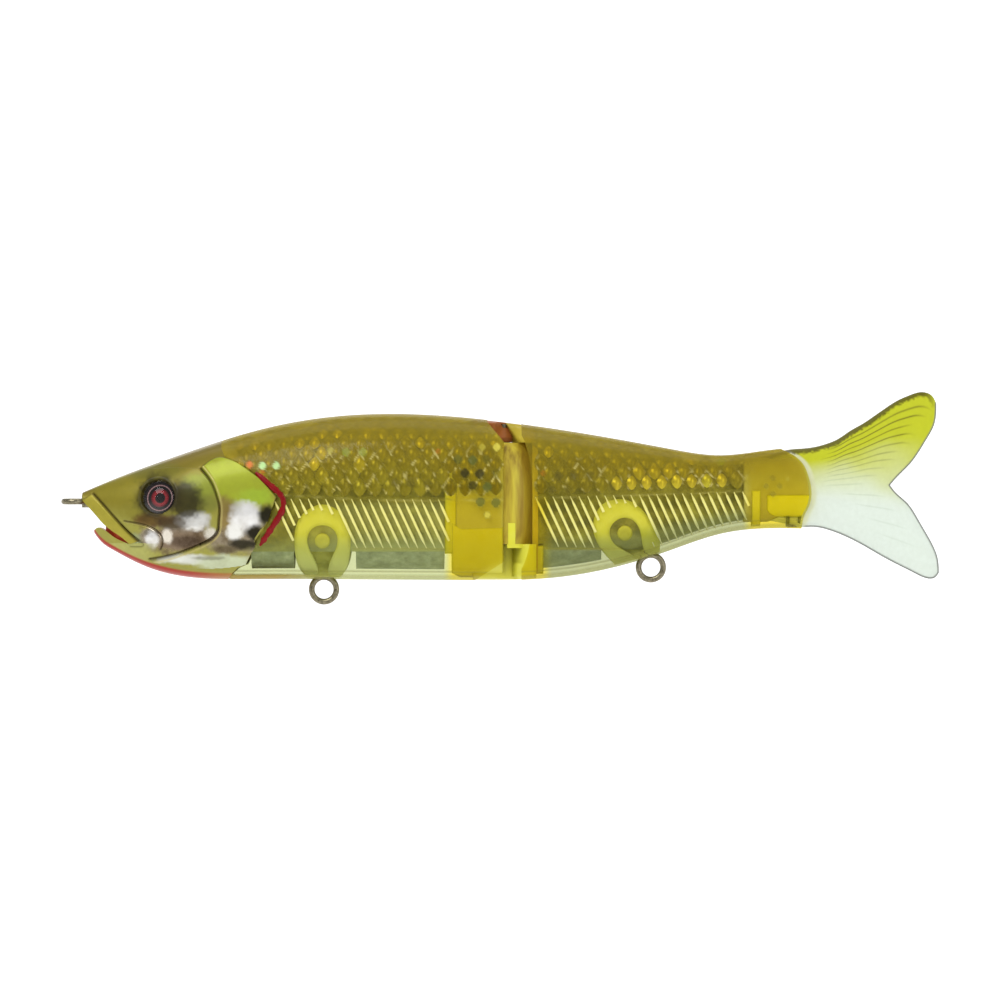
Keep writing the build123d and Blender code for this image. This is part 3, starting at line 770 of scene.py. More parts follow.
def sheetNormals(x, y, z):  # outward on the +Y side
    p = np.stack([x, y, z], -1)
    n = np.cross(np.gradient(p, axis=0), np.gradient(p, axis=1))
    return n / np.maximum(np.linalg.norm(n, axis=-1, keepdims=True), 1e-12)


def scaledZone(x):
    p = percentX(x)
    front = smoothStep(12, 16, p) * (1 - smoothStep(49.0, 49.6, p))
    return front + smoothStep(52.4, 53.0, p) * (1 - smoothStep(76, 79, p))


def skinRelief(x, z, arcs):
    raised = smoothStep(0.02, 0.7, scaleNet(x - noseX, arcs)) * smoothStep(0.0, 0.0012, arcs)
    raised = raised * (1 - smoothStep(0.70, 0.9, highOn(x, z)))
    tucked = 1 - smoothStep(-0.0001, 0.0005, x - headEdgeX(z))
    depth = 0.00025 - 0.00021 * smoothStep(0.0082, 0.0092, z)
    return scaleLayout["relief"] * raised * scaledZone(x) - depth * tucked


# the rear edge of the head: level against place along the lure, both in percent
headEdge = [(-50, 16.5), (-43, 17.6), (-40.1, 18.2), (-37.8, 19.2), (-30.8, 19.9), (-26.4, 20.4), (-23.7, 20.3),
            (-12.2, 21.8),
            (-1.6, 22.5), (2.8, 22.8), (8.6, 21.8), (14.8, 20.6), (20.5, 19.1), (24.9, 17.5), (26.3, 16.8),
            (32, 16.3),
            (60, 16.0)]


def headEdgeX(z):
    levels, places = zip(*headEdge)
    return along(np.interp(percentZ(np.asarray(z)), levels, places))


def frontStart(y, z):
    return headEdgeX(z) - 0.0006


def frontEnd(y, z):
    return frontEdgeX(z)


def rearStart(y, z):
    return hingeX + np.maximum(joint["earRadius"] + joint["slit"], y * joint["shoulderSlope"] + 0.0001)


mouthCurve = curveThrough([(-0.0070, -0.0019), (-0.0050, -0.0018), (-0.0028, -0.0014), (-0.0012, -0.0006),
                           (0.0003, -0.0001),
                           (0.0019, 0.0), (0.0035, -0.0002), (0.0053, -0.0007), (0.0070, -0.0014),
                           (0.0086, -0.0028),
                           (0.0099, -0.0050), (0.0112, -0.0075)], 90)


def rearEnd(y, z):  # the rounded mouth round the tail
    return shellEndX + np.interp(z, mouthCurve[:, 0], mouthCurve[:, 1])


shells = {"front": (frontStart, frontEnd, 260, 130), "rear": (rearStart, rearEnd, 210, 120)}
for label, side in sides:
    for part, ends in shells.items():
        shell = skinSheet(part + "Shell" + label, side, *ends)
        fit(shell, "clear_shell", part + "_section", part + "_shell_" + label.lower())
print("clear skins made")

hangers = {
    "front": {"tilt": 0.0, "centre": (0.04901, -0.0077)},
    "rear": {"tilt": math.radians(36.0), "centre": (0.10812, -0.0062)},
}
foilSettings = {"top": 0.0150, "inset": 0.0019, "columns": 120, "rows": 50, "stations": 24}
foilRuns = {
    "front": {"start": float(along(13.0)), "end": hingeX - 0.0112, "low": -0.0098},
    "rear": {"start": hingeX + 0.0064, "end": float(along(77.4)), "low": -0.0094},
}


def foilPale(x, z):  # brighter, whiter foil low in the rear chamber
    p = percentX(x)
    low = smoothStep(0.30, 0.16, highOn(x, z))
    ribs = smoothStep(27.0, 31.0, p) * (1 - smoothStep(44.0, 46.0, p)) * smoothStep(0.0005, -0.001, z)
    return 0.12 + 0.45 * low + 0.35 * ribs


def foilSheet(name, side, start, end, low):
    inset, count = foilSettings["inset"], foilSettings["stations"]
    f, g = gridOf(foilSettings["columns"], foilSettings["rows"])
    x = start * (1 - f) + end * f
    stations = np.linspace(start, end, count)
    tTop, tLow = (np.interp(x, stations, tAtLevel(stations, np.full(count, level0), inset))
                  for level0 in (foilSettings["top"], low))
    y, z = skinPoint(x, tTop * (1 - g) + tLow * g, inset)
    return sheetPiece(name, side, x, y, z, flashFoil, {"foilPale": foilPale(x, z).ravel()}, flip=side > 0)


for part, run in foilRuns.items():
    for label, side in sides:
        foil = foilSheet(part + "Foil" + label, side, **run)
        fit(foil, "flash_foil", part + "_section", part + "_foil_" + label.lower())
print("foils made")


def scaleShape():  # one thin domed scale, a few dozen faces, pointing along +X
    verts, faces = [(0.0, 0.0, 0.16)], []
    sides = 12
    for ring, (r, h) in enumerate(((0.55, 0.12), (1.0, 0.0))):
        for i in range(sides):
            a = 2 * math.pi * i / sides
            pull = 1 / (abs(math.cos(a)) ** 1.5 + abs(math.sin(a)) ** 1.5) ** (1 / 1.5)
            verts.append((r * pull * math.cos(a) * 0.5, r * pull * math.sin(a) * 0.5, h))
    for i in range(sides):
        j = (i + 1) % sides
        faces.append((0, 1 + i, 1 + j))
        faces.append((1 + i, 1 + sides + i, 1 + sides + j, 1 + j))
    mesh = bpy.data.meshes.new("oneScale")
    mesh.from_pydata(verts, [], faces)
    mesh.shade_smooth()
    return linked("oneScale", mesh)


def skinSpot(x, t, inset):
    y, z = skinPoint(np.array([x]), np.array([t]), inset)
    return np.array([x, y[0], z[0]])


def outward(x, t, inset):
    ahead = skinSpot(x + 0.0002, t, inset) - skinSpot(x - 0.0002, t, inset)
    down = skinSpot(x, min(t + 0.01, 1), inset) - skinSpot(x, max(t - 0.01, 0), inset)
    n = np.cross(ahead, down)
    n = n / np.linalg.norm(n)
    return n if n[1] > 0 or (abs(n[1]) < 1e-6 and n[2] > 0) else -n


scaleSettings = {"length": 0.00275, "width": 0.0037, "inset": 0.0009, "tilt": math.radians(7.0), "seed": 5,
                 "backGap": 0.0012, "jointGap": 0.0014, "brightSize": 0.78}
scaleRows = {
    "front": {"start": 17.0, "end": 48.6, "rows": range(1, 10)},
    "rear": {"start": 53.0, "end": 77.2, "rows": range(1, 9)},
}


# each scale's tone: random, lighter toward the back and darker near the joint, with painted glints on a row of the
# rear scales, on scattered scales and near the head
def scaleToneAndGlint(part, p, row, high):
    base = 0.10 + 0.28 * rng.random() + 0.22 * smoothStep(0.6, 0.95, high)
    if rng.random() < 0.10:
        base += 0.30
    if part == "rear" and row == 1 and 60 < p < 75:
        base = 0.76 + 0.08 * rng.random()
    if part == "rear" and row == 2 and 62 < p < 71 and rng.random() < 0.5:
        base = 0.70
    if part == "rear" and p < 61 and row < 4:
        base *= 0.35
    if part == "front" and p < 30 and rng.random() < 0.16:
        base = 0.74 + 0.08 * rng.random()
    if part == "front" and 42.5 < p < 49 and row < 5:
        base *= 0.30 if rng.random() < 0.7 else 1.0
    return float(np.clip(base, 0.0, 1.0))


oneScale = scaleShape()
for part, run in scaleRows.items():
    points, facing, heading, size, shade = [], [], [], [], []
    pitch, row, inset = scaleLayout["pitch"], scaleLayout["row"], scaleSettings["inset"]
    for r in run["rows"]:
        shift = (r % 2) * 0.5 * pitch
        first = math.ceil((float(along(run["start"])) - noseX - shift) / pitch)
        last = math.floor((float(along(run["end"])) - noseX - shift) / pitch)
        for c in range(first, last + 1):
            x = noseX + shift + c * pitch
            arc = r * row
            arcs = skinArc(x, inset)
            if arc > arcs[0] - scaleSettings["backGap"]:
                continue
            t = np.interp(-arc, -arcs, tTable)
            p = skinSpot(x, t, inset)
            if part == "front" and x > frontEdgeX(p[2]) - scaleSettings["jointGap"]:
                continue
            n = outward(x, t, inset)
            value = scaleToneAndGlint(part, float(percentX(x)), r, float(highOn(x, p[2])))
            for _, side in sides:
                points.append(p * (1, side, 1))
                facing.append(n * (1, side, 1))
                heading.append((1, 0, 0))
                size.append(scaleSettings["brightSize"] if value > 0.72 else 1.0)
                shade.append(value)
    base = pointBase(part + "ScalePoints", points, {
        "facing": facing, "heading": heading, "size": size, "shade": shade})
    scales = grown(part + "Scales", base, layScales, {
        "Scale Object": oneScale, "Length": scaleSettings["length"], "Width": scaleSettings["width"],
        "Tilt": scaleSettings["tilt"], "Seed": scaleSettings["seed"], "Material": holoScale})
    fit(scales, "flash_foil", part + "_section")
    print(part, "scales laid:", len(points))
bpy.data.objects.remove(oneScale)

ribSettings = {"radius": 0.00030, "sides": 6, "inset": 0.0006, "points": 14, "bossGap": 0.0056, "endGap": 0.0008}
ribRows = {"front": {"start": 22.5, "end": 42.4}, "rear": {"start": 52.9, "end": 77.4}}


def ribFoot(part, x):  # level where a rib ends above the belly
    if part == "front":
        return -0.0091
    points = [(53, -0.0088), (60, -0.0092), (64, -0.0088), (70, -0.0060), (77.5, -0.0030)]
    return np.interp(percentX(x), *zip(*points))


for part, run in ribRows.items():
    points, thick, edges = [], [], []
    x0, endX = float(along(run["start"])), float(along(run["end"]))
    boss = hangers[part]["centre"]
    while x0 < endX:
        for _, side in sides:
            top, foot = float(lateralLine(x0)) - 0.0001, float(ribFoot(part, x0))
            levels = np.linspace(top, foot, ribSettings["points"])
            xs = x0 + (top - levels) * ribLayout["lean"]
            t = tAtLevel(xs, levels, ribSettings["inset"])
            ys, zs = skinPoint(xs, t, ribSettings["inset"])
            ends = np.minimum(np.linspace(0, 6, len(xs)), np.linspace(6, 0, len(xs))).clip(0.35, 1.0)
            last = None
            for x, y, z, w in zip(xs, ys, zs, ends):
                nearBoss = np.hypot(x - boss[0], z - boss[1]) < ribSettings["bossGap"]
                if nearBoss or x > endX + ribSettings["endGap"]:
                    last = None
                    continue
                points.append((x, y * side, z))
                thick.append(w)
                if last is not None:
                    edges.append((last, len(points) - 1))
                last = len(points) - 1
        x0 += ribLayout["pitch"]
    base = pointBase(part + "RibLines", points, {"thick": thick}, edges)
    ribs = grown(part + "Ribs", base, sweepBeads, {
        "Radius": ribSettings["radius"], "Sides": ribSettings["sides"], "Material": pearlRib})
    fit(weld(ribs), "clear_shell", part + "_section")
print("ribs made")
# the horseshoe round a hanger's inner eye: its outer and inner outlines from one foot over the top to the other
bossSettings = {
    "outer": [(-3.0, -7.6), (-4.6, -5.4), (-5.45, -2.0), (-5.5, 1.6), (-4.3, 4.9), (-1.9, 6.8), (0, 7.3),
              (1.9, 6.8), (4.3, 4.9),
              (5.5, 1.6), (5.45, -2.0), (4.6, -5.4), (3.0, -7.6)],
    "inner": [(-0.95, -7.6), (-1.1, -5.2), (-1.9, -3.0), (-2.75, -1.0), (-2.75, 1.0), (-1.6, 2.5), (0, 2.9),
              (1.6, 2.5),
              (2.75, 1.0), (2.75, -1.0), (1.9, -3.0), (1.1, -5.2), (0.95, -7.6)],
    "across": [(0.0, 0.2), (0.0, 0.86), (0.06, 0.96), (0.25, 0.99), (0.5, 1.0), (0.75, 0.99), (0.94, 0.96),
               (1.0, 0.86), (1.0, 0.2)],
    "depth": 0.0012, "peg": 0.0017, "pegDepth": 0.0013, "floor": 0.0030, "floorTop": 0.0030, "floorRun": 0.0106,
    "keel": 0.0004, "count": 80,
}


def intoLure(h, u, w):  # boss coordinates to X and Z, leaning with the hanger
    c, s = math.cos(h["tilt"]), math.sin(h["tilt"])
    return h["centre"][0] + u * c - w * s, h["centre"][1] + u * s + w * c


def overKeel(x, z):
    return np.maximum(z, bellyLine(x) + bossSettings["keel"])


def innerY(x, z, inset):  # how far out the inside of the shell is
    return skinPoint(x, tAtLevel(x, z, inset), inset)[0]


bossOuter, bossInner = (curveThrough(np.array(bossSettings[name]) / 1000, bossSettings["count"])
                        for name in ("outer", "inner"))


def bossHorseshoe(h):
    rows = []
    for a, rise in bossSettings["across"]:
        x, z = intoLure(h, *(bossInner * (1 - a) + bossOuter * a).T)
        z = overKeel(x, z)
        y = np.maximum(innerY(x, z, bossSettings["depth"]), 0.0006) * rise
        rows.append((x, y + 0.00012 * (noise(np.stack([x, y, z], -1), 0.0009, 4) - 0.5), z))
    return np.stack(rows, -1)


def bossFloor(h):
    f, g = gridOf(24, 44)
    w = bossSettings["floorTop"] - g * bossSettings["floorRun"]
    half = bossSettings["count"] // 2
    reachIn = np.interp(-w, -bossInner[half:, 1], bossInner[half:, 0]) + 0.0002
    u = (2 * f - 1) * np.where(w > 0.0029, 0.0008, reachIn)
    x, z = intoLure(h, u, w)
    z = overKeel(x, z)
    onPeg = 1 - smoothStep(bossSettings["peg"] * 0.8, bossSettings["peg"] * 1.1, np.hypot(u, w))
    y = np.maximum(innerY(x, z, bossSettings["floor"]), 0.0009) * (0.78 + 0.20 * onPeg)
    return x, y + 0.0004 * (noise(np.stack([x, y, z], -1), 0.0011, 7) - 0.5), z


def bossPeg(h):
    r, a = np.meshgrid(np.linspace(0, 1, 10), np.linspace(0, 2 * math.pi, 41)[:-1], indexing="ij")
    x, z = intoLure(h, r * np.cos(a) * bossSettings["peg"], r * np.sin(a) * bossSettings["peg"])
    y = innerY(x, z, bossSettings["pegDepth"])
    return x, y - 0.0016 * smoothStep(0.80, 1.0, r) - 0.0002 * (1 - smoothStep(0.0, 0.5, r)), z


for part, hanger in hangers.items():
    for label, side in sides:
        for name, shape, material, closed in (("Boss", bossHorseshoe, "lemonBoss", False),
                                              ("BossFloor", bossFloor, "lemonFloor", False),
                                              ("BossPeg", bossPeg, "lemonFloor", True)):
            x, y, z = shape(hanger)
            made = sheetPiece(part + name + label, side, x, y, z, frosted[material], closed=closed)
            fit(made, "clear_shell", part + "_section")
print("hanger bosses made")


def turnedWall(name, radiusOf, lowZ, highZ, angles, levels, material, body):
    a, z = np.meshgrid(angles, np.linspace(lowZ, highZ, levels), indexing="ij")
    r = radiusOf(z)
    points = np.stack([hingeX + r * np.cos(a), r * np.sin(a), z], -1)
    wall = makePiece(name, points.reshape(-1, 3), gridFaces(*a.shape), material)
    return fit(wall, "clear_shell", body)


def hingeSection(inset):
    def radius(z):
        x = np.full(np.shape(z), hingeX)
        return np.maximum(skinPoint(x, tAtLevel(x, z, inset), inset)[0], 0.0002)
    return radius


bellyZ, backZ = float(bellyLine(hingeX)), float(backLine(hingeX))
knuckle = turnedWall("rearKnuckle", hingeSection(0.0014), joint["lowerEar"] + 0.0001, joint["upperEar"] - 0.0001,
                     np.linspace(0, 2 * math.pi, 97), 60, amberKnuckle, "rear_section")
weld(knuckle)
turnedWall("frontCup", lambda z: hingeSection(0.0017)(z) + 0.0012, bellyZ + 0.0022, backZ - 0.0022,
           np.linspace(math.radians(112), math.radians(248), 60), 50, frosted["yellowWall"], "front_section")
print("joint made")


def coneRadius(z):  # the upper ear narrows toward the back, the lower one is straight
    return np.interp(z, [0.0, 0.0001, 0.0125, 0.0154], [0.0028, 0.00265, 0.00265, 0.0002])


def skinAt(dx, z, inset):  # the level kept inside the outline, and the skin's half width there
    z = min(max(z, float(bellyLine(hingeX + dx)) + 0.0001), float(backLine(hingeX + dx)) - 0.0001)
    return float(skinPoint(hingeX + dx, tAtLevel(hingeX + dx, z, inset), inset)[0]), z


def stackLoops(name, loops, body, material):  # closes a stack of level outlines into one block
    n = len(loops[0])
    caps = [list(range(n))[::-1], list(range((len(loops) - 1) * n, len(loops) * n))]
    faces = gridFaces(len(loops), n, closed=True).tolist() + caps
    block = weld(makePiece(name, np.concatenate(loops), faces, frosted[material]), 1e-5)
    fit(block, "clear_shell", body)


def planLoop(plan, level0, inset):  # one level outline, trimmed to the skin and mirrored
    side = []
    for dx, half in plan:
        y, z = skinAt(dx, level0, inset)
        side.append((hingeX + dx, min(half, max(y, 0.00003)), z))
    return np.array(side + [(x, -y, z) for x, y, z in side[::-1]])


def earBlock(name, lowZ, highZ, material):  # a rounded ear, trimmed to the skin above and below
    loops = []
    for level0 in np.linspace(lowZ, highZ, 30):
        r = float(coneRadius(level0))
        plan = [(dx, r + (0.0030 - r) * float(smoothStep(0.0003, 0.0022, -dx))) for dx in np.linspace(-0.0062, 0, 16)]
        plan += [(r * math.sin(a), max(r * math.cos(a), 0.00002)) for a in np.linspace(0, math.pi / 2, 12)]
        loops.append(planLoop(plan, level0, 0.0001))
    stackLoops(name, loops, "front_section", material)


def saddleBlock(name, lowZ, highZ, material):  # the rear section's side of an ear, filled out to the skin
    loops = []
    for level0 in np.linspace(lowZ, highZ, 26):
        r = float(coneRadius(level0)) + 0.0001
        ahead = hingeX - float(frontEdgeX(level0))
        start = min(max(r, skinAt(r, level0, 0.0002)[0] * joint["shoulderSlope"] - ahead), 0.0050)
        plan = [(r * math.cos(a), r * math.sin(a)) for a in np.linspace(0.01, 1.0, 8)]
        plan += [(start, 1.0), (0.0052, 1.0), (0.0062, 1.0)]
        loops.append(planLoop(plan, level0, 0.0002))
    stackLoops(name, loops, "rear_section", material)


# the upper ear in painted shade
earBlock("upperEar", joint["upperEar"], backZ + 0.0004, "earPaintedShade")
earBlock("lowerEar", bellyZ - 0.0002, joint["lowerEar"], "blockWall")
saddleBlock("upperSaddle", joint["upperEar"] - 0.0001, backZ + 0.0002, "yellowWall")
saddleBlock("lowerSaddle", bellyZ - 0.0001, joint["lowerEar"] + 0.0001, "brightWall")

blockEdge = {"drop": 0.00015, "dropRun": 0.0004, "thin": 0.5, "thinRun": 0.00035, "wave": 0.0002, "mouthGap": 0.0004}


def blockSheet(name, side, xs, tops, lows, inset, material):  # a moulded block seen through the shell
    f, g = gridOf(60, 40)
    x = xs[0] + f * (xs[-1] - xs[0])
    z = np.interp(x, xs, tops) * (1 - g) + np.maximum(np.interp(x, xs, lows), bellyLine(x) + inset * 0.6) * g
    x = np.minimum(x, rearEnd(0.0, z) - blockEdge["mouthGap"])
    y = innerY(x, z, inset)
    tall = np.interp(x, xs, tops) - np.interp(x, xs, lows)
    edge = np.minimum(np.minimum(f, 1 - f) * (xs[-1] - xs[0]), np.minimum(g, 1 - g) * tall)
    wave = blockEdge["wave"] * noise(np.stack([x, y, z], -1), 0.0016, 11)
    y = y - blockEdge["drop"] * (1 - smoothStep(0.0, blockEdge["dropRun"], edge)) + wave
    thin = blockEdge["thin"] * (1 - smoothStep(0.0, blockEdge["thinRun"], edge))
    return sheetPiece(name, side, x, y, z, frosted[material], {"thin": thin.ravel()})


# places along, tops and bottoms in metres, how deep, finish; all but the front ones are on the rear section
blocks = {
    "frontBand": ([0.0729, 0.0752], [0.0064, 0.0064], [-0.0102, -0.0102], 0.0010, "blockWall"),
    "frontPlate": ([0.0750, 0.0844], [0.0105, 0.0105], [-0.0060, -0.0060], 0.0010, "olivePlate"),
    "frontBlock": ([0.0742, 0.0760, 0.0843], [-0.0040, -0.0052, -0.0050], [-0.0140, -0.0150, -0.0152], 0.0009,
                   "blockWall"),
    "rearFoot": ([0.0893, 0.0922], [-0.0086, -0.0086], [-0.0142, -0.0142], 0.0013, "blockWall"),
    "tailCore": ([0.1314, 0.1362, 0.1446], [0.0092, 0.0096, 0.0092], [-0.0040, -0.0040, -0.0003], 0.0012,
                 "olivePlate"),
    "tailSocket": ([0.1360, 0.1366, 0.1376, 0.1446], [0.0012, 0.0013, 0.0013, 0.0013],
                   [-0.0016, -0.0025, -0.0030, -0.0031], 0.0009, "brightWall"),
    "peduncleRib": ([0.1330, 0.1348], [0.0022, 0.0022], [-0.0053, -0.0053], 0.0008, "lemonBoss"),
    "pinPostFore": ([0.1398, 0.1405], [-0.0030, -0.0030], [-0.0055, -0.0055], 0.0005, "mossPost"),
    "pinPostAft": ([0.1421, 0.1428], [-0.0030, -0.0030], [-0.0055, -0.0055], 0.0005, "mossPost"),
}
for name, values in blocks.items():
    for label, side in sides:
        block = blockSheet(name + label, side, *values)
        fit(block, "clear_shell", "front_section" if name.startswith("front") else "rear_section")
# raised bars on the hinge barrel, following its round so that they swing clear
barrelInset = 0.00132
barrelBars = {"hingeBar": (0.0007, 0.0021, -0.0086, -0.0042), "hingeStep": (0.0005, 0.0050, -0.0091, -0.0083)}
for name, (dx0, dx1, z0, z1) in barrelBars.items():
    for label, side in sides:
        dx, z = np.meshgrid(np.linspace(dx0, dx1, 16), np.linspace(z0, z1, 16), indexing="ij")
        y = np.sqrt(hingeSection(barrelInset)(z) ** 2 - dx ** 2)
        fit(sheetPiece(name + label, side, hingeX + dx, y, z, frosted["brightWall"]), "clear_shell", "rear_section")
print("ears made")


def crossWall(name, x, thickness, inset, body, count=61):  # an end wall across the shell
    t = np.linspace(0, 1, count)
    layers = []
    for at in (x - thickness / 2, x + thickness / 2):
        xs = np.full(count, at)
        y, z = skinPoint(xs, t, inset)
        layers.append(np.concatenate([np.stack([xs, -y, z], -1), np.stack([xs, y, z], -1)[::-1]]))
    n = len(layers[0])
    faces = [[i, (i + 1) % n, n + (i + 1) % n, n + i] for i in range(n)]
    faces += [list(range(n))[::-1], list(range(n, 2 * n))]
    wall = makePiece(name, np.concatenate(layers), faces, frosted["yellowWall"], smooth=False)
    fit(weld(wall), "clear_shell", body)


crossWall("rearFrontWall", hingeX + 0.0060, 0.0011, 0.0012, "rear_section")
print("end walls made")


def refinish(name, material):  # a CAD node kept as it is, in a better finish
    nodes[name].data.materials.clear()
    nodes[name].data.materials.append(material)


for name in ("front_ballast_fore", "front_ballast_aft", "rear_ballast"):
    refinish(name, ballastMetal)
for name in ("front_hook_hanger", "rear_hook_hanger", "line_tie", "hinge_pin", "tail_pin"):
    refinish(name, stainlessWire)
# the moulded lines of the head, in percent of length and height
headLines = {
    "coverTop": [(14.0, 19.6), (15.0, 24.0), (16.3, 26.3), (17.5, 24.9), (19.1, 20.5), (20.6, 14.8), (21.8, 8.6),
                 (22.8, 2.8)],
    "coverRear": [(22.8, 2.8), (22.5, -1.6), (21.8, -12.2), (20.3, -23.7), (20.4, -26.4), (19.9, -30.8),
                  (19.2, -37.8)],
    "ridge": [(14.0, 19.6), (15.0, 13.4), (15.8, 4.6), (16.2, -4.3), (16.1, -12.2), (15.5, -21.0), (13.9, -25.9),
              (12.2, -29.4),
              (9.5, -33.4), (7.9, -34.8)],
    "lipLower": [(0.0, 0.5), (0.2, -0.5), (1.4, -6.9), (2.9, -14.9), (5.0, -22.8), (5.6, -25.5)],
    "lipGroove": [(1.3, 4.6), (2.8, -3.8), (4.6, -14.0), (5.7, -19.7), (6.6, -24.1)],
    "maxilla": [(5.0, -11.8), (6.9, -13.5), (8.8, -17.5), (9.5, -22.8), (9.3, -28.1)],
    "lipRear": [(4.6, -14.0), (5.9, -20.2), (7.1, -25.0), (6.9, -27.2), (5.7, -27.2)],
    "jawTop": [(1.35, -17.3), (1.9, -15.6), (2.9, -18.0), (4.1, -22.4), (5.6, -25.7)],
}
headRuns = {name: inPercent(points) for name, points in headLines.items()}
coverLoop = np.concatenate([
    headRuns["coverTop"], headRuns["coverRear"],
    inPercent([(19.2, -37.8), (15.0, -40.0), (10.0, -38.0), (7.9, -34.8)], 12), headRuns["ridge"][::-1]])
cheekLoop = np.concatenate([
    headRuns["ridge"], inPercent([(7.9, -34.8), (9.3, -28.1)], 4), headRuns["maxilla"][::-1],
    inPercent([(5.0, -11.8), (4.5, 8.0), (9.0, 20.0), (14.0, 19.6)], 20)])
lipLoop = np.concatenate([headRuns["lipGroove"], headRuns["lipLower"][::-1]])
eyePlace = {"x": float(along(9.0)), "z": float(level(2.8)), "seat": 0.00318, "seatEdge": 0.00332, "seatDepth": 0.0024,
            "brow": 0.00355, "irisRadius": 0.00316, "irisDepth": -0.0015, "irisDish": 0.00035}
# soft patches: paint, and on the bare plating painted reflections and painted highlights: place along and up in
# percent, size both ways, colour, strength, and how matt the paint is
headPatchesAndReflections = [
    ((4.5, 8.0), (4.5, 14.0), (142, 132, 38), 0.85, 1.0),
    ((9.0, 17.0), (4.5, 9.0), (114, 112, 38), 0.70, 1.0),
    ((14.2, 9.0), (3.0, 12.0), (140, 152, 52), 0.85, 1.0),
    ((14.2, -1.0), (2.8, 8.0), (120, 126, 52), 0.70, 1.0),
    ((7.0, -6.0), (3.0, 8.0), (140, 132, 46), 0.70, 1.0),
    ((11.2, -22.0), (6.0, 12.0), (136, 118, 98), 1.0, 0.0),
    ((12.0, -13.0), (4.2, 7.0), (150, 138, 122), 0.90, 0.1),
    ((8.6, -11.0), (3.6, 6.0), (96, 62, 36), 0.85, 0.8),
    ((13.2, -11.5), (2.5, 7.2), (255, 255, 252), 1.0, 0.4),
    ((15.2, -19.0), (1.0, 5.0), (236, 232, 222), 0.8, 0.2),
    ((12.3, -23.5), (2.8, 4.8), (96, 80, 66), 0.9, 0.0),
    ((10.1, -20.5), (0.9, 6.5), (244, 236, 224), 0.95, 0.3),
    ((8.9, 2.8), (3.4, 17.5), (30, 28, 16), 0.92, 1.0),
    ((12.2, 0.0), (2.9, 15.0), (34, 30, 16), 0.92, 1.0),
    ((10.8, -13.0), (2.6, 5.0), (60, 44, 26), 0.75, 1.0),
    ((6.2, -24.0), (1.4, 6.5), (166, 178, 124), 0.85, 0.7),
    ((8.0, -22.5), (1.5, 8.0), (176, 168, 152), 0.90, 0.0),
    ((8.3, -22.5), (1.0, 6.0), (255, 255, 255), 1.0, 0.5),
]
# the gill cover's patches: paint, and on the bare plating painted reflections and painted highlights
coverPatchesAndReflections = [
    ((18.0, 12.0), (8.0, 24.0), (160, 170, 44), 1.0, 1.0),
    ((20.5, 3.0), (2.6, 7.0), (164, 190, 54), 0.85, 1.0),
    ((18.0, -18.0), (5.5, 19.0), (150, 138, 116), 1.0, 0.0),
    ((16.8, -8.0), (1.7, 13.0), (150, 128, 70), 0.90, 0.6),
    ((19.4, -9.5), (2.4, 12.5), (255, 255, 255), 1.0, 0.5),
    ((18.0, -18.0), (1.3, 6.5), (250, 250, 246), 0.95, 0.4),
    ((21.7, -8.0), (1.3, 8.0), (26, 24, 16), 1.0, 0.6),
    ((20.4, -18.5), (1.6, 6.5), (30, 27, 18), 1.0, 0.5),
    ((18.9, -25.5), (2.3, 4.4), (38, 34, 24), 0.95, 0.5),
    ((16.9, -28.5), (2.2, 3.4), (104, 92, 70), 0.9, 0.0),
    ((12.5, -34.0), (4.6, 4.0), (240, 244, 236), 0.95, 0.6),
    ((17.0, -36.0), (4.4, 6.0), (210, 220, 184), 0.95, 0.7),
    ((14.8, -33.4), (2.4, 1.6), (120, 122, 98), 0.6, 0.5),
]
# lines of the head darkened with painted shade, and the cut ones: width and strength of the painted shade, width and
# depth of the cut
edgeAndGrooveShade = {"ridge": (0.00022, 0.85), "lipGroove": (0.00026, 0.85), "maxilla": (0.00020, 0.8),
           "lipRear": (0.00014, 0.45), "coverTop": (0.00012, 0.5)}
lineCut = {"lipGroove": (0.00024, 0.00045), "maxilla": (0.00018, 0.00030), "lipRear": (0.00014, 0.00020)}
# soft swellings: place along and up in percent, size both ways, rise
swellings = [((12.2, -16.0), (3.4, 12.0), 0.00045), ((8.3, -22.5), (1.4, 7.0), 0.00035),
             ((18.6, -8.0), (2.8, 18.0), 0.00035), ((12.6, 3.0), (2.5, 14.0), 0.00020)]
ridgeBack = 0.00055
headInks = {name: ink(*levels) for name, levels in {
    "low": (166, 162, 74), "middle": (140, 128, 40), "top": (122, 106, 30), "lip": (178, 166, 58),
    "jaw": (186, 186, 104), "line": (66, 52, 20), "ridgePaintedHighlight": (206, 192, 120), "throat": (178, 22, 4),
    "throatEnd": (178, 122, 40), "mouth": (200, 80, 52)}.items()}


def addPatches(paint, cover, p, lv, patches, mask, wander):
    for (p0, l0), (rp, rl), colour, strength, matt in patches:
        d = np.hypot((p - p0) / rp, (lv - l0) / rl) + wander
        w = strength * (1 - smoothStep(0.45, 1.0, d)) * mask
        paint = laid(paint, ink(*colour), w)
        cover = cover * (1 - w) + matt * w
    return paint, cover


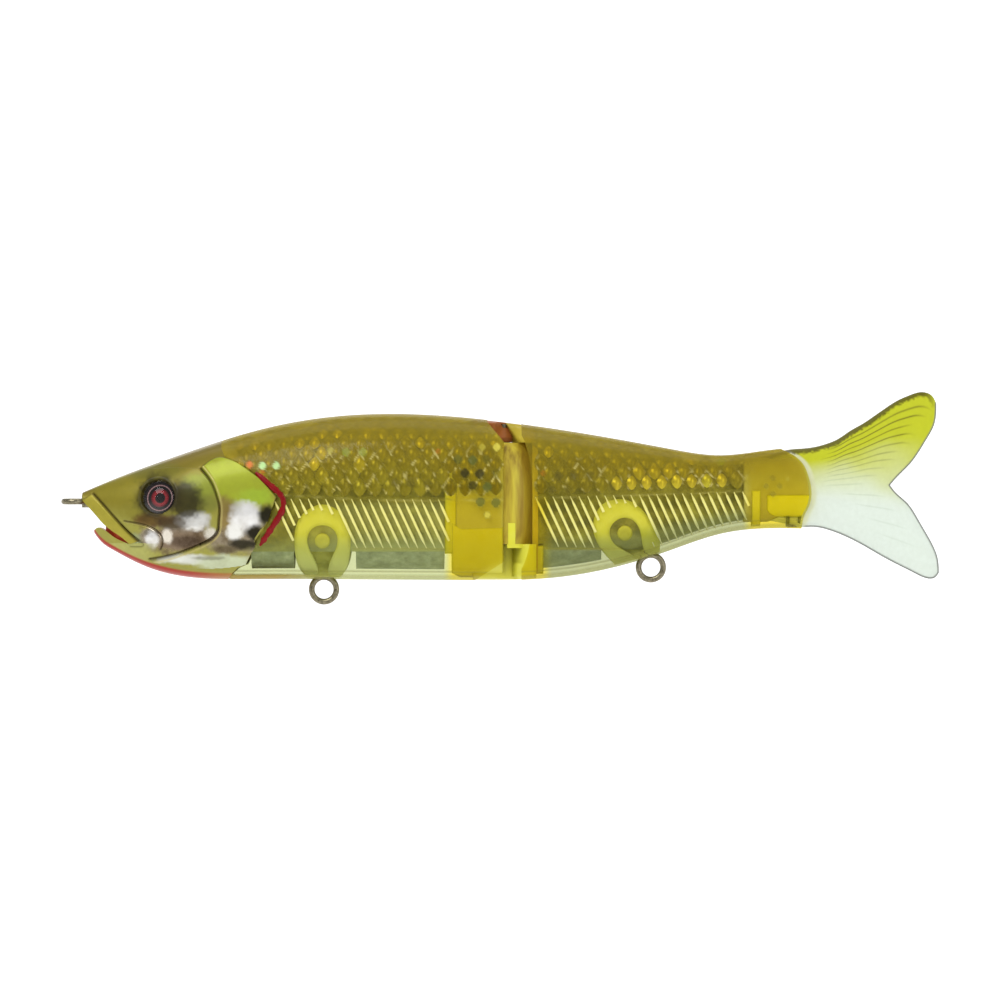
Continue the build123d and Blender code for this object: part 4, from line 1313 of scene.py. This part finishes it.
# paint over the head, with painted reflections and highlights where the plating is bare
def headPaintAndReflections(x, z):
    p, lv, high = percentX(x), percentZ(z), highOn(x, z)
    spot = spots(x, z)
    wander = (noise(spot, 0.0016, 3) - 0.5) * 0.30 + (noise(spot, 0.0005, 4) - 0.5) * 0.22
    paint = laid(headInks["low"], headInks["middle"], smoothStep(0.35, 0.75, high))
    paint = laid(paint, headInks["top"], smoothStep(0.80, 0.98, high))
    isCover, isLip = inside(x, z, coverLoop), inside(x, z, lipLoop)
    isRear = smoothStep(14.5, 16.0, p) * (lv > 20)
    onHead = np.where(isCover | isLip, 0.0, 1.0) * (1 - isRear)
    paint, cover = addPatches(paint, np.ones_like(p), p, lv, headPatchesAndReflections, onHead, wander)
    paint, cover = addPatches(paint, cover, p, lv, coverPatchesAndReflections, isCover * 1.0, wander)
    paint = laid(paint, headInks["lip"], np.where(isLip, 0.9, 0.0))
    jaw = (1 - smoothStep(7.0, 9.5, p)) * (lv < -25.0) * ~isLip
    paint = laid(paint, headInks["jaw"], jaw * 0.85)
    cover = np.maximum(cover, jaw)
    # painted shade along the head's grooves and raised edges
    for name, (width, strength) in edgeAndGrooveShade.items():
        paint = laid(paint, headInks["line"], strength * softLine(toLine(x, z, headRuns[name]), width))
    # painted highlight along the raised edge behind the ridge
    light = 0.75 * softLine(toLine(x, z, headRuns["ridge"]) - ridgeBack, 0.00018) * isCover
    paint = laid(paint, headInks["ridgePaintedHighlight"], light)
    stripe = 1 - smoothStep(0.0007, 0.0012, z - bellyLine(x) - 0.0003 * smoothStep(4, 10, p))
    red = laid(headInks["throat"], headInks["throatEnd"], smoothStep(12.0, 18.5, p))
    paint, cover = stroke(paint, cover, red, stripe)
    return paint, np.clip(cover, 0, 1)


def headRelief(x, z):
    p, lv = percentX(x), percentZ(z)
    isCover = inside(x, z, coverLoop)
    edge = np.minimum(toLine(x, z, headRuns["coverTop"]), toLine(x, z, headRuns["coverRear"]))
    ridge = toLine(x, z, headRuns["ridge"])
    raised = smoothStep(-0.00012, 0.00015, np.where(isCover, 1, -1) * np.minimum(edge, ridge))
    cheek = smoothStep(-0.0001, 0.0003, np.where(inside(x, z, cheekLoop), 1, -1) * ridge)
    lift = 0.00032 * raised + 0.00022 * cheek * smoothStep(7.0, 13.0, p)
    lift = lift - 0.00042 * softLine(ridge, 0.00020) + 0.00014 * softLine(ridge - ridgeBack, 0.00020) * isCover
    for name, (width, depth) in lineCut.items():
        lift = lift - depth * softLine(toLine(x, z, headRuns[name]), width)
    lift = lift + 0.00020 * inside(x, z, lipLoop)
    for (p0, l0), (rp, rl), rise in swellings:
        lift = lift + rise * (1 - smoothStep(0.0, 1.0, np.hypot((p - p0) / rp, (lv - l0) / rl)))
    r = np.hypot(x - eyePlace["x"], z - eyePlace["z"])
    lift = lift + 0.00030 * softLine(r - eyePlace["brow"], 0.00025)
    return lift - eyePlace["seatDepth"] * (1 - smoothStep(eyePlace["seat"], eyePlace["seatEdge"], r))


headStations = np.linspace(noseX, float(along(24.0)), 160)


def lipLevel(line, x, behind):  # a lip's level, then the seam behind the corner of the mouth
    run = headRuns[line]
    return np.where(x > run[-1, 0], behind, np.interp(x, run[:, 0], run[:, 1]))


seamLevel = float(level(-25.7))
upperT = tAtLevel(headStations, lipLevel("lipLower", headStations, seamLevel))
lowerT = tAtLevel(headStations, lipLevel("jawTop", headStations, seamLevel))
headDetail = {"columns": 230, "upperRows": 200, "lowerRows": 56, "jawStart": 1.36}
# the lips turned in to the middle, and the blunt nose: how far out each ring is, and where it is along
lipTurn = (1.0, 0.97, 0.8, 0.5, 0.2, 0.0)
noseRings = ((0.0, -0.0002), (0.55, -0.00018), (0.9, -0.00008), (1.0, 0.0))


def headSheet(side, firstX, edgeT, upper, columns, rows):
    f, g = gridOf(columns, rows)
    z = np.zeros_like(f)
    for _ in range(14):  # the rear edge depends on the level
        x = firstX + f * (headEdgeX(z) - firstX)
        limit = np.interp(x, headStations, edgeT)
        t = g * limit if upper else limit + g * (1 - limit)
        z = skinPoint(x, t)[1]
    y, z = skinPoint(x, t)
    lift, normals = headRelief(x, z), sheetNormals(x, y, z)
    opened = smoothStep(0.0, 0.0006, np.minimum(x - noseX, 1))
    points = np.stack([x, y, z], -1) + normals * (lift * opened)[..., None]
    paint, cover = headPaintAndReflections(x, z)
    # the edge wall behind, tucked in over the clear skin
    inward = normals[-1] * (lift[-1] + 0.00035)[:, None]
    wall = np.stack([points[-1], points[-1] + np.array((0.00004, 0, 0)) - inward])
    # painted shade: the wall's colour falls to 0.8 and 0.4 of the edge's as it tucks under
    sheets = [(points, paint, cover), (wall, np.stack([paint[-1] * 0.8, paint[-1] * 0.4]), np.stack([cover[-1]] * 2))]
    edge, rise = (-1, 0.0003) if upper else (0, -0.0003)
    red = headInks["mouth"] * np.ones((columns, 1))
    roof = [points[:, edge] * (1, k, 1) + (0, 0, rise * (1 - k)) for k in lipTurn]
    tones = [paint[:, edge]] * 2 + [red] * 4
    if not upper:
        roof, tones = roof[::-1], tones[::-1]
    sheets.append((np.stack(roof, 1), np.stack(tones, 1), np.ones((columns, len(lipTurn)))))
    if upper:
        centre = np.array((noseX, 0, float(level(2.2))))
        cap = []
        for k, dx in noseRings:
            ring = centre + (points[0] - centre) * k
            ring[:, 0] = noseX + dx
            cap.append(ring)
        sheets.append((np.stack(cap), np.stack([paint[0]] * 4), np.stack([cover[0]] * 4)))
    verts, faces, colours, covers, start = [], [], [], [], 0
    for place, colour, hide in sheets:
        verts.append((place * (1, side, 1)).reshape(-1, 3))
        faces.append(gridFaces(*place.shape[:2], flip=side > 0) + start)
        colours.append(colour.reshape(-1, 3))
        covers.append(hide.ravel())
        start += len(verts[-1])
    return [np.concatenate(run) for run in (verts, faces, colours, covers)]


for label, side in sides:
    upper = headSheet(side, noseX, upperT, True, headDetail["columns"], headDetail["upperRows"])
    lower = headSheet(side, float(along(headDetail["jawStart"])), lowerT, False, headDetail["columns"],
                      headDetail["lowerRows"])
    lower[1] = lower[1] + len(upper[0])
    verts, faces, paint, cover = (np.concatenate(pair) for pair in zip(upper, lower))
    head = makePiece("headCover" + label, verts, faces, platedHead, {"headPaintAndReflections": paint, "headCover": cover})
    fit(head, "plated_head", "front_section", "head_plate_" + label.lower())
print("head covers made")

lining = {"start": float(along(2.7)), "end": float(along(6.2)), "inset": 0.0008, "overlap": 0.0003, "keel": 0.0009}
for label, side in sides:  # the red lining seen at the corner of the mouth
    f, g = gridOf(30, 14)
    x = lining["start"] + f * (lining["end"] - lining["start"])
    top = lipLevel("lipLower", x, seamLevel) + lining["overlap"]
    low = lipLevel("jawTop", x, seamLevel) - lining["overlap"]
    z = top * (1 - g) + low * g
    y = innerY(x, np.maximum(z, bellyLine(x) + lining["keel"]), lining["inset"])
    y = y * smoothStep(0.0, 0.5, f + 0.12) + 0.0002 * noise(np.stack([x, y, z], -1), 0.0008, 9)
    piece = sheetPiece("mouthLining" + label, side, x, y, z, mouthRed, flip=side > 0)
    fit(piece, "plated_head", "front_section")


def eyeFrame(side):
    x, z, step = eyePlace["x"], eyePlace["z"], 0.001

    def skinY(a, b):
        return float(skinPoint(a, tAtLevel(a, b), 0.0)[0])

    run = (skinY(x + step, z) - skinY(x - step, z)) / (2 * step)
    rise = (skinY(x, z + step) - skinY(x, z - step)) / (2 * step)
    out = Vector((-run, 1, -rise)).normalized()
    ahead = Vector((1, run, 0)).normalized()
    up = out.cross(ahead).normalized()
    flip = Vector((1, side, 1))
    return [v * flip for v in (Vector((x, skinY(x, z), z)), ahead, up, out)]


for label, side in sides:
    seat, ahead, up, out = eyeFrame(side)
    verts, radius, turn = [], [], []
    for r in np.linspace(0, 1, 26):
        for a in np.linspace(0, 2 * math.pi, 73)[:-1]:
            dish = eyePlace["irisDepth"] + eyePlace["irisDish"] * r * r
            place = seat + (ahead * math.cos(a) + up * math.sin(a)) * (r * eyePlace["irisRadius"]) + out * dish
            verts.append(tuple(place))
            radius.append(r)
            turn.append(a / (2 * math.pi))
    faces = gridFaces(26, 72, closed=True)
    iris = makePiece("iris" + label, verts, faces, eyePrint, {"eyeRadius": radius, "eyeTurn": turn})
    fit(faceOut(iris, side), "eye_print", "front_section", "eye_iris_" + label.lower())
    refinish("eye_lens_" + label.lower(), eyeResin)
print("eyes made")

gillStripe = {
    "path": [(20.4, 17.4), (22.0, 10.2), (23.4, 3.4), (23.6, -3.5), (22.6, -13.4), (21.4, -22.6), (20.9, -26.4)],
    "halfWidth": 0.00058, "lift": 0.00022, "inset": -0.00002, "ragged": 0.7, "count": 90, "across": 9,
}


def gillStrip(name, side):  # a raised stripe of paint along the gill's edge
    count, wide = gillStripe["count"], gillStripe["across"]
    run = inPercent(gillStripe["path"], count)
    d = np.gradient(run, axis=0)
    d = d / np.linalg.norm(d, axis=1, keepdims=True)
    across = np.linspace(-1, 1, wide)
    rough = noise(np.stack([run[:, 0], run[:, 1], run[:, 0] * 0], -1), 0.0006, 12) - 0.5
    width = gillStripe["halfWidth"] * (1 + gillStripe["ragged"] * rough)
    width = width * np.minimum(1, np.minimum(np.linspace(0.35, 9, count), np.linspace(9, 0.35, count)))
    x = run[:, 0, None] - d[:, 1, None] * across * width[:, None]
    z = run[:, 1, None] + d[:, 0, None] * across * width[:, None]
    y, z = skinPoint(x, tAtLevel(x, z))
    rise = gillStripe["lift"] * np.sqrt(np.maximum(1 - across ** 2, 0)) + gillStripe["inset"]
    n = sheetNormals(x, y, z)
    n = n * np.where(n[..., 1:2] < 0, -1, 1)
    x, y, z = np.moveaxis(np.stack([x, y, z], -1) + n * rise[None, :, None], -1, 0)
    return sheetPiece(name, side, x, y, z, gillRed, flip=side > 0)


for label, side in sides:
    fit(gillStrip("gillPaint" + label, side), "clear_shell", "front_section")
print("gill paint made")
tailShape = {
    "top": [(0.1352, 0.0085), (0.1380, 0.0096), (0.1405, 0.0102), (0.1430, 0.0104), (0.1454, 0.0107),
            (0.1477, 0.0113),
            (0.1501, 0.0123), (0.1525, 0.0139), (0.1548, 0.0152), (0.1572, 0.0168), (0.1595, 0.0184),
            (0.1619, 0.0199),
            (0.1642, 0.0209), (0.1666, 0.0215), (0.1684, 0.0209), (0.1694, 0.0192)],
    "upperFork": [(0.1694, 0.0192), (0.1690, 0.0152), (0.1674, 0.0121), (0.1644, 0.0076), (0.1615, 0.0046),
                  (0.1603, 0.0032)],
    "lowerFork": [(0.1603, 0.0032), (0.1615, 0.0017), (0.1635, -0.0001), (0.1660, -0.0038), (0.1684, -0.0080),
                  (0.1697, -0.0113), (0.1699, -0.0140)],
    "bottom": [(0.1352, -0.0036), (0.1397, -0.0044), (0.1422, -0.0050), (0.1452, -0.0050), (0.1489, -0.0058),
               (0.1548, -0.0085),
               (0.1597, -0.0113), (0.1654, -0.0142), (0.1672, -0.0150), (0.1690, -0.0150), (0.1699, -0.0140)],
    "root": 0.0013, "tip": 0.00042, "rimRoot": 0.0011, "rimTip": 0.0005, "columns": 170, "rows": 210,
    "bendStart": 0.0002, "bendEnd": 0.0034,
}
tailInks = {name: ink(*levels) for name, levels in {
    "lime": (206, 212, 44), "pale": (226, 234, 138), "milk": (240, 248, 240), "ray": (112, 108, 28),
    "paleRay": (168, 186, 160), "collar": (236, 240, 214), "back": (74, 62, 16), "rim": (128, 132, 126)}.items()}
# the fin rays: where across the tail, how dark, start and end along it
tailRays = [(0.070, 0.75, 0.30, 0.97), (0.115, 0.90, 0.32, 0.95), (0.165, 0.75, 0.30, 0.90),
            (0.215, 0.85, 0.33, 0.93),
            (0.265, 0.60, 0.34, 0.94), (0.315, 0.55, 0.36, 0.90), (0.365, 0.45, 0.36, 0.92),
            (0.42, 0.35, 0.38, 0.90),
            (0.47, 0.28, 0.38, 0.88), (0.52, 0.25, 0.40, 0.80), (0.60, 0.25, 0.50, 0.88), (0.68, 0.22, 0.55, 0.90),
            (0.77, 0.20, 0.60, 0.92), (0.86, 0.16, 0.62, 0.93)]


def tailGrid():  # across and along the fin, and the place of each point between its four edges
    n, m = tailShape["columns"], tailShape["rows"]
    u, v = gridOf(n, m)
    top, bottom = curveThrough(tailShape["top"], n), curveThrough(tailShape["bottom"], n)
    half = m // 2
    upper, lower = curveThrough(tailShape["upperFork"], half + 1), curveThrough(tailShape["lowerFork"], m - half)
    right = np.concatenate([upper[:-1], lower])
    left = np.linspace(top[0], bottom[0], m)
    uu, vv = u[..., None], v[..., None]
    flat = (1 - vv) * top[:, None] + vv * bottom[:, None] + (1 - uu) * left[None] + uu * right[None]
    flat -= (1 - uu) * (1 - vv) * top[0] + uu * (1 - vv) * top[-1] + (1 - uu) * vv * bottom[0] + uu * vv * bottom[-1]
    return u, v, flat[..., 0], flat[..., 1]


def tailRayLines(u, v):
    lines = np.zeros_like(u)
    for at, dark, start, end in tailRays:
        shown = smoothStep(start, start + 0.12, u) * (1 - smoothStep(end - 0.1, end, u))
        lines = np.maximum(lines, dark * softLine(v - at, 0.0045 + 0.002 * (1 - u)) * shown)
    return lines


def tailPaint(u, v, x, z, rays, dTop, dRim):
    spot = spots(x, z)
    milky = smoothStep(0.20, 0.60, v + 0.10 * (noise(spot, 0.004, 2) - 0.5) + 0.10 * (0.6 - u))
    paint = laid(tailInks["lime"], tailInks["milk"], milky)
    paint = laid(paint, tailInks["pale"], 0.35 * smoothStep(0.15, 0.45, v) * (1 - smoothStep(0.45, 0.7, v)))
    paint = laid(paint, laid(tailInks["ray"], tailInks["paleRay"], milky), rays)
    pastShell = x - rearEnd(x, z)
    collar = 0.85 * smoothStep(-0.0004, 0.0, pastShell) * (1 - smoothStep(0.0007, 0.0014, pastShell))
    paint = laid(paint, tailInks["collar"], collar)
    speck = 0.0006 * (noise(spot, 0.00035, 6) - 0.5)
    dark = (1 - smoothStep(0.0006, 0.0012, dTop + speck)) * (1 - smoothStep(0.90, 1.0, u))
    paint = laid(paint, tailInks["back"], 0.85 * dark)
    rim = 0.9 * (1 - smoothStep(0.00018, 0.00042, dRim)) * smoothStep(0.0, 0.001, pastShell)
    cover = np.maximum(0.90 - 0.18 * milky, 0.9 * rim)
    return laid(paint, tailInks["rim"], rim), np.clip(cover, 0, 1)


u, v, tx, tz = tailGrid()
forkLine = np.concatenate([curveThrough(tailShape[name], 50) for name in ("upperFork", "lowerFork")])
dTop, dBottom = (toLine(tx, tz, curveThrough(tailShape[name], 120)) for name in ("top", "bottom"))
dRim = np.minimum(dBottom, toLine(tx, tz, forkLine))
reach = smoothStep(0.145, 0.168, tx)
half = tailShape["root"] * (1 - reach) + tailShape["tip"] * reach
rimWidth = tailShape["rimRoot"] * (1 - reach) + tailShape["rimTip"] * reach
half = half * np.sqrt(np.clip(1 - (1 - np.clip(np.minimum(dTop, dRim) / rimWidth, 0, 1)) ** 2, 0, 1))
rays = tailRayLines(u, v)
half = half * (1 - 0.10 * rays)
paint, cover = tailPaint(u, v, tx, tz, rays, dTop, dRim)
points = np.concatenate([np.stack([tx, half * s, tz], -1).reshape(-1, 3) for s in (-1, 1)])
faces = np.concatenate([gridFaces(*tx.shape), gridFaces(*tx.shape, flip=True) + tx.size])
tail = makePiece("softTail", points, faces, softTail, {
    "tailPaint": np.concatenate([paint.reshape(-1, 3)] * 2), "tailCover": np.concatenate([cover.ravel()] * 2)})
fit(weld(tail, 2e-6), "soft_tail", None, "tail_root", "tail_blade")
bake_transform(tail)
print("tail made")

cam = bpy.data.cameras.new("lens")
cam.sensor_width = 36.0
cam.lens = 219.9
cam.clip_start, cam.clip_end = 0.05, 20.0
camera = linked("camera", cam)
camera.location = (0.08369, -1.2, 0.00029)
camera.rotation_euler = (math.pi / 2, 0, 0)
bpy.context.scene.camera = camera

studio = {"middle": 0.084, "floor": -0.13, "radius": 2.6, "bend": 0.6, "wall": 0.9, "world": 0.52, "wash": 0.62}


def sweepFinish():
    s = Shader("paleSweep")
    colour = s.mix(s.noise(3.0, 2.0), (0.80, 0.80, 0.80), (0.78, 0.78, 0.78))
    # the sweep glows, weakly at the front and fully at the back, as a light wash
    depth = s.between(s.axes()[1], -0.4, 0.8, **{"To Min": 0.04, "To Max": 1.0})
    wash = s.math("MULTIPLY", depth, studio["wash"])
    return s.finish(s.solid(colour, 0.9, glow=(1.0, 1.0, 1.0), glowing=wash))


bend = studio["bend"]
flatEnd = studio["radius"] - bend
profile = [(0.0, 0.0), (flatEnd, 0.0)]
profile += [(flatEnd + bend * math.sin(a), bend - bend * math.cos(a)) for a in np.linspace(0.1, math.pi / 2, 14)]
profile += [(studio["radius"], studio["wall"])]
sweepTurns = np.linspace(0, 2 * math.pi, 97)[:-1]
verts = [(studio["middle"] + r * math.cos(a), r * math.sin(a), studio["floor"] + h) for r, h in profile
         for a in sweepTurns]
sweep = makePiece("studioSweep", verts, gridFaces(len(profile), len(sweepTurns), closed=True), sweepFinish())
weld(sweep)
world = bpy.data.worlds.new("studio")
world.use_nodes = True
background = world.node_tree.nodes["Background"]
background.inputs["Color"].default_value = (1, 1, 1, 1)
background.inputs["Strength"].default_value = studio["world"]
bpy.context.scene.world = world

# soft boxes: name, place, width and height, power
softBoxes = [
    ("keyBox", (-0.30, -0.80, 0.75), (0.6, 0.5), 5.4),
    ("sideBox", (0.65, -0.70, 0.25), (0.35, 0.7), 1.6),
    ("topBox", (0.08, 0.15, 0.95), (0.9, 0.5), 2.6),
    ("backBox", (0.10, 0.80, 0.45), (0.8, 0.4), 1.5),
]
for name, place, size, power in softBoxes:
    light = bpy.data.lights.new(name, "AREA")
    light.shape = "RECTANGLE"
    light.size, light.size_y = size
    light.energy = power
    lamp = linked(name, light)
    lamp.location = place
    lamp.rotation_euler = (Vector((studio["middle"], 0, 0)) - Vector(place)).to_track_quat("-Z", "Y").to_euler()

bpy.context.scene.view_settings.view_transform = "Standard"
print("stage made")
